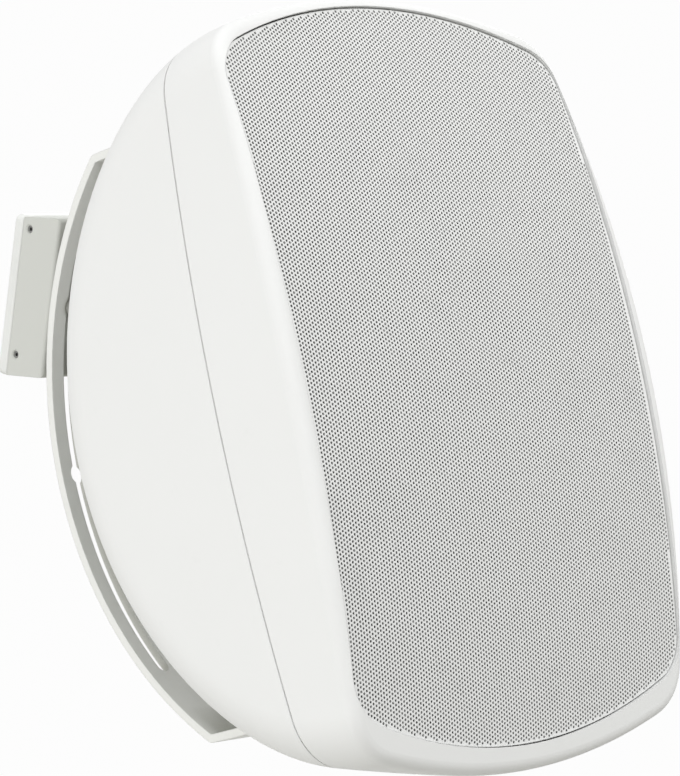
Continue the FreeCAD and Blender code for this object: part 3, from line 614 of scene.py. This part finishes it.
def solid_mesh(node, turn):
    """A welded copy of a solid's mesh, turned by a matrix."""
    mesh = bmesh.new()
    mesh.from_mesh(frame["nodes"][node].data)
    bmesh.ops.transform(mesh, matrix=turn, verts=mesh.verts)
    bmesh.ops.remove_doubles(mesh, verts=mesh.verts, dist=WELD)
    return mesh


def loose_parts(node, turn):
    """The corners of each loose part of a solid's mesh, turned by a matrix."""
    mesh = solid_mesh(node, turn)
    waiting = set(mesh.verts)
    parts = []
    while waiting:
        front = [waiting.pop()]
        part = []
        while front:
            vert = front.pop()
            part.append(vert.co.copy().freeze())
            for edge in vert.link_edges:
                other = edge.other_vert(vert)
                if other in waiting:
                    waiting.remove(other)
                    front.append(other)
        parts.append(part)
    mesh.free()
    return sorted(parts, key=lambda part: tuple(round(value, 5) for value in min(part, key=tuple)))


def finish_of(node):
    return frame["nodes"][node].material_slots[0].material


def finished_piece(name, mesh, material, body, replaced):
    """Makes an object of a mesh in place of a solid. A piece that bends between bodies has no body here."""
    data = bpy.data.meshes.new(name)
    mesh.to_mesh(data)
    mesh.free()
    data.materials.append(material)
    piece = bpy.data.objects.new(name, data)
    bpy.context.scene.collection.objects.link(piece)
    if body:
        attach(piece, body)
    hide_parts(replaced)
    return piece


class LOUDSPEAKER_OT_grille(Operator):
    """Drill the staggered holes through the curved sheet and fold its rim"""

    bl_idname = "loudspeaker.grille"
    bl_label = "Perforated Grille"

    def execute(self, context):
        scene = context.scene
        grille = scene.loudspeaker_grille
        cabinet = scene.loudspeaker_cabinet
        sheet = self.drilled_sheet(grille)
        onto_front(sheet, cabinet.front_radius, grille.set_back)
        material = enamel("grille_enamel_finish", scene.loudspeaker_colours.grille, 0.42)
        for side, left in (("left", True), ("right", False)):
            for level, low in (("lower", True), ("upper", False)):
                quarter = sheet.copy()
                others = [face for face in quarter.faces if self.quarter_of(face) != (left, low)]
                bmesh.ops.delete(quarter, geom=others, context="FACES")
                self.fold_and_thicken(quarter, grille)
                bmesh.ops.transform(quarter, matrix=cabinet_place(cabinet), verts=quarter.verts)
                name = f"grille_{level}_{side}"
                finished_piece(name, quarter, material, "speaker", "grille")
        sheet.free()
        return {"FINISHED"}

    def quarter_of(self, face):
        """Whether a face lies on the left, and whether it lies low."""
        middle = face.calc_center_median()
        return middle.x < 0.0, middle.z < 0.0

    def drilled_sheet(self, grille):
        columns = 2 * math.ceil(grille.half_width / grille.column_pitch) + 2
        rows = 2 * math.ceil(grille.half_height / grille.hole_pitch) + 4
        sheet = flat_grid(columns, rows, grille.column_pitch, grille.hole_pitch)
        for vert in sheet.verts:
            if round(vert.co.x / grille.column_pitch) % 2:
                vert.co.z += grille.hole_pitch / 2.0
        bmesh.ops.triangulate(sheet, faces=sheet.faces, quad_method="SHORT_EDGE")
        trim_to_outline(sheet, rounded_outline(grille, 0.0))
        bmesh.ops.remove_doubles(sheet, verts=sheet.verts, dist=SLIVER)
        for edge in sheet.edges:
            edge.smooth = not edge.is_boundary
        hole_radius = grille.hole_pitch * grille.hole_share / 100.0
        field = rounded_outline(grille, grille.plain_edge + hole_radius)
        shortest = hole_radius + LEAST_WEB
        centres = [vert for vert in sheet.verts if len(vert.link_edges) == 6
                   and min(edge.calc_length() for edge in vert.link_edges) > shortest
                   and inside_outline(field, vert.co.x, vert.co.z)]
        made = bmesh.ops.bevel(sheet, geom=centres, offset=hole_radius, offset_type="OFFSET", segments=1,
                               profile=0.5, affect="VERTICES", material=-1)
        largest = 4.0 * hole_radius ** 2
        holes = [face for face in made["faces"] if len(face.verts) == 6 and face.calc_area() < largest]
        bmesh.ops.delete(sheet, geom=holes, context="FACES_ONLY")
        bmesh.ops.recalc_face_normals(sheet, faces=sheet.faces)
        return sheet

    def fold_and_thicken(self, quarter, grille):
        rim = [edge for edge in quarter.edges if not edge.smooth and edge.is_boundary]
        folded = bmesh.ops.extrude_edge_only(quarter, edges=rim)
        corners = [part for part in folded["geom"] if isinstance(part, bmesh.types.BMVert)]
        bmesh.ops.translate(quarter, vec=(0.0, grille.fold, 0.0), verts=corners)
        bmesh.ops.recalc_face_normals(quarter, faces=quarter.faces)
        if sum(face.normal.y * face.calc_area() for face in quarter.faces) > 0.0:
            bmesh.ops.reverse_faces(quarter, faces=quarter.faces)
        bmesh.ops.bevel(quarter, geom=rim, offset=FOLD_RADIUS, offset_type="OFFSET", segments=2,
                        profile=0.5, affect="EDGES", material=-1)
        quarter.normal_update()
        backed = bmesh.ops.extrude_face_region(quarter, geom=quarter.faces, use_keep_orig=True)
        for part in backed["geom"]:
            if isinstance(part, bmesh.types.BMVert):
                part.co -= part.normal * grille.thickness
        bmesh.ops.recalc_face_normals(quarter, faces=quarter.faces)


class LOUDSPEAKER_OT_cloth(Operator):
    """Stretch the acoustic cloth behind the grille"""

    bl_idname = "loudspeaker.cloth"
    bl_label = "Grille Cloth"

    def execute(self, context):
        scene = context.scene
        grille = scene.loudspeaker_grille
        cabinet = scene.loudspeaker_cabinet
        inset = grille.thickness + grille.cloth_margin
        width = 2.0 * (grille.half_width - inset)
        height = 2.0 * (grille.half_height - inset)
        cloth = flat_grid(CLOTH_COLUMNS, CLOTH_ROWS, width / CLOTH_COLUMNS * CLOTH_SPARE,
                          height / CLOTH_ROWS * CLOTH_SPARE)
        trim_to_outline(cloth, rounded_outline(grille, inset))
        area = sum(face.calc_area() for face in cloth.faces)
        onto_front(cloth, cabinet.front_radius, grille.set_back + grille.cloth_depth)
        bmesh.ops.recalc_face_normals(cloth, faces=cloth.faces)
        if sum(face.normal.y for face in cloth.faces) > 0.0:
            bmesh.ops.reverse_faces(cloth, faces=cloth.faces)
        bmesh.ops.solidify(cloth, geom=cloth.faces, thickness=grille.cloth_thickness)
        bmesh.ops.transform(cloth, matrix=cabinet_place(cabinet), verts=cloth.verts)
        material = woven("grille_cloth_weave", scene.loudspeaker_colours.cloth, tilt=cabinet.tilt)
        piece = finished_piece("grille_cloth_sheet", cloth, material, "speaker",
                               "grille_cloth")
        return {"FINISHED"}


class LOUDSPEAKER_OT_wadding(Operator):
    """Give the damping pad inside the cabinet the uneven surface of loose fibre"""

    bl_idname = "loudspeaker.wadding"
    bl_label = "Damping Wadding"

    def execute(self, context):
        soft = context.scene.loudspeaker_soft
        mesh = solid_mesh("damping_pad", Matrix.Identity(4))
        for length in WADDING_EDGES:
            long_edges = [edge for edge in mesh.edges if edge.calc_length() > length]
            bmesh.ops.subdivide_edges(mesh, edges=long_edges, cuts=1)
            bmesh.ops.triangulate(mesh, faces=mesh.faces)
        mesh.normal_update()
        for vert in mesh.verts:
            hollow = abs(tuft_noise.noise(vert.co / soft.tuft_size))
            vert.co -= vert.normal * (soft.wadding_clearance + soft.tuft_depth * hollow)
        bmesh.ops.recalc_face_normals(mesh, faces=mesh.faces)
        material = finish_of("damping_pad")
        piece = finished_piece("damping_wadding", mesh, material, "speaker", "damping_pad")
        return {"FINISHED"}


class LOUDSPEAKER_OT_gasket(Operator):
    """Swell the seam gasket out of its groove, as it does when the mouldings are screwed together"""

    bl_idname = "loudspeaker.gasket"
    bl_label = "Seam Gasket"

    def execute(self, context):
        cabinet = context.scene.loudspeaker_cabinet
        place = cabinet_place(cabinet)
        mesh = solid_mesh("seam_gasket", place.inverted())
        mesh.normal_update()
        outward = {}
        for face in mesh.faces:
            middle = face.calc_center_median()
            if abs(face.normal.y) < 0.5 and face.normal.x * middle.x + face.normal.z * middle.z > 0.0:
                for vert in face.verts:
                    outward[vert] = outward.get(vert, Vector()) + Vector((face.normal.x, 0.0, face.normal.z))
        for vert, way in outward.items():
            vert.co += way.normalized() * cabinet.gasket_swell
        bmesh.ops.recalc_face_normals(mesh, faces=mesh.faces)
        bmesh.ops.transform(mesh, matrix=place, verts=mesh.verts)
        material = rubber("seam_gasket_finish", (0.66, 0.66, 0.64))
        finished_piece("seam_gasket_bead", mesh, material, "speaker", "seam_gasket")
        return {"FINISHED"}


class LOUDSPEAKER_OT_fasteners(Operator):
    """Cut a recess into each visible screw and bolt head and round its rim"""

    bl_idname = "loudspeaker.fasteners"
    bl_label = "Screws and Bolts"

    def execute(self, context):
        steel = plated_steel("fastener_steel_finish", (0.62, 0.62, 0.60), 0.26)
        upright = cabinet_place(context.scene.loudspeaker_cabinet)
        self.remake("rail_screws", "rail_pan_screws", "speaker", upright, 4, steel)
        self.remake("terminal_screws", "terminal_pan_screws", "speaker", upright, 4, steel)
        self.remake("clamp_bolts", "clamp_cap_bolts", "wall_bracket", Matrix.Identity(4), 6, steel)
        return {"FINISHED"}

    def remake(self, node, name, body, place, arms, material):
        """Builds every fastener of a node again, in the frame where its axis runs along y."""
        mesh = bmesh.new()
        for points in loose_parts(node, place.inverted()):
            self.turn_fastener(mesh, points, arms)
        bmesh.ops.recalc_face_normals(mesh, faces=mesh.faces)
        bmesh.ops.transform(mesh, matrix=place, verts=mesh.verts)
        finished_piece(name, mesh, material, body, node)

    def turn_fastener(self, mesh, points, arms):
        x = (min(p.x for p in points) + max(p.x for p in points)) / 2.0
        z = (min(p.z for p in points) + max(p.z for p in points)) / 2.0
        reach = {p: math.hypot(p.x - x, p.z - z) for p in points}
        head_radius = max(reach.values())
        head = [p.y for p in points if reach[p] > 0.9 * head_radius]
        shank = [p for p in points if reach[p] < 0.9 * head_radius and reach[p] > 0.1 * head_radius]
        shank_radius = max(reach[p] for p in shank)
        low, high = min(p.y for p in points), max(p.y for p in points)
        outward = 1.0 if max(head) > high - 1e-6 else -1.0
        crown = max(head) if outward > 0 else min(head)
        seat = min(head) if outward > 0 else max(head)
        tip = low if outward > 0 else high
        flat = Matrix.Translation((x, crown, z)) @ Matrix.Rotation(math.radians(90), 4, "X")
        rim = self.ring(mesh, flat, HEAD_SIDES, head_radius)
        recess = self.recess_ring(mesh, flat, arms, head_radius)
        bmesh.ops.triangle_fill(mesh, edges=rim + recess, use_beauty=True, normal=(0.0, outward, 0.0))
        axis = Vector((x, 0.0, z))
        floor = self.drawn_out(mesh, recess, -RECESS_DEPTH * abs(crown - seat) * outward, axis, RECESS_TAPER)
        bmesh.ops.edgeloop_fill(mesh, edges=floor)
        side = self.drawn_out(mesh, rim, seat - crown, axis, 1.0)
        neck = self.drawn_out(mesh, side, 0.0, axis, shank_radius / head_radius)
        end = self.drawn_out(mesh, neck, tip - seat, axis, 1.0)
        bmesh.ops.edgeloop_fill(mesh, edges=end)
        bmesh.ops.bevel(mesh, geom=rim, offset=HEAD_ROUNDING * abs(crown - seat), offset_type="OFFSET",
                        segments=4, profile=0.5, affect="EDGES", material=-1)

    def ring(self, mesh, flat, count, radius):
        made = bmesh.ops.create_circle(mesh, segments=count, radius=radius, matrix=flat)
        corners = set(made["verts"])
        return [edge for edge in mesh.edges if corners.issuperset(edge.verts)]

    def recess_ring(self, mesh, flat, arms, head_radius):
        """Six-sided socket, or a cross of four arms."""
        if arms == 6:
            return self.ring(mesh, flat, arms, SOCKET_SHARE * head_radius)
        made = bmesh.ops.create_circle(mesh, segments=12, radius=1.0, matrix=Matrix.Identity(4))
        reach = CROSS_SHARE * head_radius
        half = CROSS_HALF_WIDTH * head_radius
        for i, vert in enumerate(made["verts"]):
            along = (reach, reach, half)[i % 3]
            across = (-half, half, half)[i % 3]
            arm = Matrix.Rotation(math.radians(90 * (i // 3)), 4, "Z")
            vert.co = flat @ (arm @ Vector((along, across, 0.0)))
        corners = set(made["verts"])
        return [edge for edge in mesh.edges if corners.issuperset(edge.verts)]

    def drawn_out(self, mesh, edges, travel, axis, share):
        """Extrudes a ring along y and scales it about its axis; gives the new ring."""
        made = bmesh.ops.extrude_edge_only(mesh, edges=edges)["geom"]
        corners = {part for part in made if isinstance(part, bmesh.types.BMVert)}
        for vert in corners:
            vert.co.x = axis.x + (vert.co.x - axis.x) * share
            vert.co.y += travel
            vert.co.z = axis.z + (vert.co.z - axis.z) * share
        new_edges = [part for part in made if isinstance(part, bmesh.types.BMEdge)]
        return [edge for edge in new_edges if corners.issuperset(edge.verts)]


class LOUDSPEAKER_OT_suspension(Operator):
    """Cut the woofer's surround and spider into sectors and remake its leads, as pieces held by no body"""

    bl_idname = "loudspeaker.suspension"
    bl_label = "Woofer Suspension"

    def execute(self, context):
        place = cabinet_place(context.scene.loudspeaker_cabinet)
        soft = context.scene.loudspeaker_soft
        self.split_ring("woofer_surround", "surround_rubber", place, soft.surround_sectors,
                        soft.surround_cone_radius, soft.surround_basket_radius)
        self.split_ring("woofer_spider", "spider_cloth", place, soft.spider_sectors,
                        soft.spider_cone_radius, soft.spider_basket_radius)
        self.bend_leads(place, soft.lead_end)
        return {"FINISHED"}

    def split_ring(self, node, slot, place, count, cone_radius, basket_radius):
        """Cuts a ring into sectors, since each piece can only bend along one straight line."""
        ring = solid_mesh(node, place.inverted())
        heights = [vert.co.z for vert in ring.verts]
        centre = Vector((0.0, 0.0, (min(heights) + max(heights)) / 2.0))
        for index in range(count):
            turn = 2.0 * math.pi * index / count
            sector = ring.copy()
            for side in (-1.0, 1.0):
                edge_turn = turn + side * math.pi / count
                outside = side * Vector((-math.sin(edge_turn), 0.0, math.cos(edge_turn)))
                everything = sector.verts[:] + sector.edges[:] + sector.faces[:]
                bmesh.ops.bisect_plane(sector, geom=everything, dist=WELD, plane_co=centre, plane_no=outside,
                                       clear_outer=True)
            cut_edges = [edge for edge in sector.edges if edge.is_boundary]
            bmesh.ops.holes_fill(sector, edges=cut_edges, sides=0)
            bmesh.ops.recalc_face_normals(sector, faces=sector.faces)
            bmesh.ops.transform(sector, matrix=place, verts=sector.verts)
            outward = Vector((math.cos(turn), 0.0, math.sin(turn)))
            self.bend(f"{node}_{index + 1}", sector, node, slot,
                      place @ (centre + outward * cone_radius), place @ (centre + outward * basket_radius))
        ring.free()

    def bend_leads(self, place, end_length):
        leads = solid_mesh("woofer_leads", place.inverted())
        front = min(vert.co.y for vert in leads.verts)
        back = max(vert.co.y for vert in leads.verts)
        at_cone = [vert.co.copy() for vert in leads.verts if vert.co.y < front + end_length]
        at_tags = [vert.co.copy() for vert in leads.verts if vert.co.y > back - end_length]
        start = place @ (sum(at_cone, Vector()) / len(at_cone))
        end = place @ (sum(at_tags, Vector()) / len(at_tags))
        bmesh.ops.transform(leads, matrix=place, verts=leads.verts)
        self.bend("woofer_flexible_leads", leads, "woofer_leads", "copper", start, end)

    def bend(self, name, mesh, node, slot, start, end):
        piece = finished_piece(name, mesh, finish_of(node), None, node)
        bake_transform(piece)


class LOUDSPEAKER_OT_finishes(Operator):
    """Give every solid of the frame its own finish"""

    bl_idname = "loudspeaker.finishes"
    bl_label = "Finishes"

    def execute(self, context):
        colours = context.scene.loudspeaker_colours
        finishes = {
            "white_moulding": moulded_plastic("white_moulding_finish", colours.moulding, edge=0.5 * MM),
            "grille_enamel": enamel("plain_grille_finish", colours.grille),
            "black_cloth": woven("plain_cloth_finish", colours.cloth),
            "seal_rubber": rubber("seal_rubber_finish", (0.62, 0.62, 0.60)),
            # the rail's enamel has painted shade in its hollows, within 30 mm
            "rail_enamel": enamel("rail_enamel_finish", colours.rail, 0.5, edge=0.6 * MM, hollow=30 * MM,
                                  half_width=context.scene.loudspeaker_cabinet.rail_half_width, gloss=0.5),
            "bracket_moulding": moulded_plastic("bracket_moulding_finish", colours.bracket, edge=0.4 * MM),
            "plate_enamel": enamel("plate_enamel_finish", colours.plate, edge=0.4 * MM),
            "zinc_steel": plated_steel("zinc_steel_finish", (0.62, 0.62, 0.60), edge=0.25 * MM),
            "black_steel": enamel("black_steel_finish", (0.03, 0.03, 0.031), 0.45),
            "ferrite": ferrite("ferrite_finish", (0.045, 0.045, 0.047)),
            "pole_steel": plated_steel("pole_steel_finish", (0.55, 0.55, 0.53), 0.35),
            "paper": pressed_paper("paper_finish", (0.035, 0.035, 0.036)),
            "surround_rubber": rubber("surround_rubber_finish", (0.022, 0.022, 0.022)),
            "amber_film": moulded_plastic("amber_film_finish", (0.45, 0.24, 0.05), 0.2),
            "copper": wound_copper("copper_finish", (0.72, 0.36, 0.20)),
            "spider_cloth": woven("spider_cloth_finish", (0.52, 0.42, 0.20), 0.7 * MM),
            "black_plastic": moulded_plastic("black_plastic_finish", (0.028, 0.028, 0.029), 0.45,
                                             edge=0.3 * MM),
            "silk": woven("silk_finish", (0.05, 0.05, 0.05), 0.3 * MM),
            "board_laminate": lacquered_board("board_laminate_finish", (0.02, 0.13, 0.05)),
            "capacitor_film": moulded_plastic("capacitor_film_finish", (0.50, 0.30, 0.05), 0.25),
            "ceramic": moulded_plastic("ceramic_finish", (0.75, 0.74, 0.70), 0.6, edge=0.4 * MM),
            "brass_contact": plated_steel("brass_contact_finish", (0.78, 0.60, 0.28), 0.25),
            "green_plastic": moulded_plastic("green_plastic_finish", (0.03, 0.22, 0.08), 0.4, edge=0.3 * MM),
            "wire_sheath": rubber("wire_sheath_finish", (0.22, 0.02, 0.02)),
            "wadding": loose_fibre("wadding_finish", (0.72, 0.72, 0.69)),
        }
        slots = {part["node"]: part["material_slot"] for part in frame["record"]["subparts"]}
        own = {"bracket_side_screws": plated_steel("set_screw_finish", (0.30, 0.30, 0.29), 0.5)}
        for node, solid in frame["nodes"].items():
            for place in solid.material_slots:
                place.material = own.get(node, finishes[slots[node]])
        return {"FINISHED"}


class LOUDSPEAKER_OT_stage(Operator):
    """Set the pale floor, the soft light and the camera"""

    bl_idname = "loudspeaker.stage"
    bl_label = "Studio Stage"

    def execute(self, context):
        stage = context.scene.loudspeaker_stage
        context.scene.view_settings.view_transform = "Standard"
        self.lay_floor(context, stage)
        self.light_world(context)
        self.hang_lamps(context)
        self.set_camera(context, stage)
        return {"FINISHED"}

    def lay_floor(self, context, stage):
        mesh = bmesh.new()
        bmesh.ops.create_grid(mesh, x_segments=2, y_segments=2, size=FLOOR_HALF_WIDTH,
                              matrix=Matrix.Translation((0.0, 0.0, -stage.floor_drop)))
        data = bpy.data.meshes.new("floor")
        mesh.to_mesh(data)
        mesh.free()
        floor = bpy.data.objects.new("floor", data)
        context.scene.collection.objects.link(floor)
        material, flow = new_finish("floor_finish")
        pale = flow.node("ShaderNodeBsdfDiffuse", {}, {"Color": rgba(stage.floor_colour)})
        white = flow.node("ShaderNodeEmission", {}, {"Color": (1.0, 1.0, 1.0, 1.0), "Strength": 1.0})
        seen = self.seen_directly(flow)
        mixed = flow.node("ShaderNodeMixShader", {}, {0: seen * (1.0 - SHADOW_SHARE), 1: pale, 2: white})
        flow.node("ShaderNodeOutputMaterial", {}, {"Surface": mixed})
        data.materials.append(material)

    def seen_directly(self, flow):
        camera = flow.node("ShaderNodeLightPath", output="Is Camera Ray")
        glossy = flow.node("ShaderNodeLightPath", output="Is Glossy Ray")
        through = flow.node("ShaderNodeLightPath", output="Is Transmission Ray")
        return flow.math("MINIMUM", camera + glossy + through, 1.0)

    def light_world(self, context):
        world = bpy.data.worlds.new("studio_world")
        world.use_nodes = True
        world.node_tree.nodes.clear()
        context.scene.world = world
        flow = Flow(world.node_tree)
        direction = flow.node("ShaderNodeTexCoord", output="Generated")
        towards_tent = flow.node("ShaderNodeVectorMath", {"operation": "DOT_PRODUCT"},
                                 {0: direction, 1: TENT_DIRECTION}, "Value")
        lit = band(flow, towards_tent, -0.7, 0.8)
        sky = blend_colours(flow, lit, (0.20, 0.20, 0.18, 1.0), (1.02, 1.02, 1.02, 1.0))
        ambient = flow.node("ShaderNodeBackground", {}, {"Color": sky, "Strength": 1.0})
        white = flow.node("ShaderNodeBackground", {}, {"Color": (1.0, 1.0, 1.0, 1.0), "Strength": 1.0})
        mixed = flow.node("ShaderNodeMixShader", {}, {0: self.seen_directly(flow), 1: ambient, 2: white})
        flow.node("ShaderNodeOutputWorld", {}, {"Surface": mixed})

    def hang_lamps(self, context):
        for name, place, size, power in LAMPS:
            self.hang_lamp(context, name, place, size, power)

    def hang_lamp(self, context, name, place, size, power):
        lamp = bpy.data.lights.new(name, "AREA")
        lamp.shape = "DISK"
        lamp.size = size
        lamp.energy = power
        holder = bpy.data.objects.new(name, lamp)
        aim = LAMP_TARGET - Vector(place)
        holder.location = place
        holder.rotation_mode = "QUATERNION"
        holder.rotation_quaternion = aim.to_track_quat("-Z", "Y")
        context.scene.collection.objects.link(holder)

    def set_camera(self, context, stage):
        view = bpy.data.cameras.new("photo_camera")
        view.sensor_width = SENSOR_WIDTH
        view.lens = stage.lens
        view.shift_x = stage.shift_x
        view.shift_y = stage.shift_y
        view.clip_start = 0.01
        view.clip_end = 100.0
        camera = bpy.data.objects.new("photo_camera", view)
        context.scene.collection.objects.link(camera)
        flat = math.cos(stage.elevation)
        sideways, forwards = math.sin(stage.azimuth), -math.cos(stage.azimuth)
        back = Vector((sideways * flat, forwards * flat, math.sin(stage.elevation)))
        turn = (-back).to_track_quat("-Z", "Y").to_matrix().to_4x4() @ Matrix.Rotation(stage.roll, 4, "Z")
        camera.matrix_world = Matrix.Translation(Vector(stage.target) + back * stage.distance) @ turn
        context.scene.camera = camera


class LOUDSPEAKER_PT_looks(Panel):
    """Lists the steps that dress the loudspeaker"""

    bl_label = "Wall Loudspeaker"
    bl_space_type = "VIEW_3D"
    bl_region_type = "UI"
    bl_category = "Loudspeaker"

    def draw(self, context):
        for operator in OPERATORS:
            self.layout.operator(operator.bl_idname)


OPERATORS = (
    LOUDSPEAKER_OT_finishes,
    LOUDSPEAKER_OT_grille,
    LOUDSPEAKER_OT_cloth,
    LOUDSPEAKER_OT_wadding,
    LOUDSPEAKER_OT_gasket,
    LOUDSPEAKER_OT_fasteners,
    LOUDSPEAKER_OT_suspension,
    LOUDSPEAKER_OT_stage,
)
SETTINGS = {
    "loudspeaker_cabinet": CabinetSizes,
    "loudspeaker_grille": GrilleSizes,
    "loudspeaker_soft": SoftSizes,
    "loudspeaker_colours": FinishColours,
    "loudspeaker_stage": StageSettings,
}


def register():
    for group in SETTINGS.values():
        bpy.utils.register_class(group)
    for name, group in SETTINGS.items():
        setattr(bpy.types.Scene, name, PointerProperty(type=group))
    for operator in OPERATORS:
        bpy.utils.register_class(operator)
    bpy.utils.register_class(LOUDSPEAKER_PT_looks)


def unregister():
    bpy.utils.unregister_class(LOUDSPEAKER_PT_looks)
    for operator in reversed(OPERATORS):
        bpy.utils.unregister_class(operator)
    for name in SETTINGS:
        delattr(bpy.types.Scene, name)
    for group in SETTINGS.values():
        bpy.utils.unregister_class(group)


def main():
    register()
    bpy.ops.loudspeaker.finishes()
    bpy.ops.loudspeaker.grille()
    bpy.ops.loudspeaker.cloth()
    bpy.ops.loudspeaker.wadding()
    bpy.ops.loudspeaker.gasket()
    bpy.ops.loudspeaker.fasteners()
    bpy.ops.loudspeaker.suspension()
    bpy.ops.loudspeaker.stage()


if __name__ == "__main__":
    main()
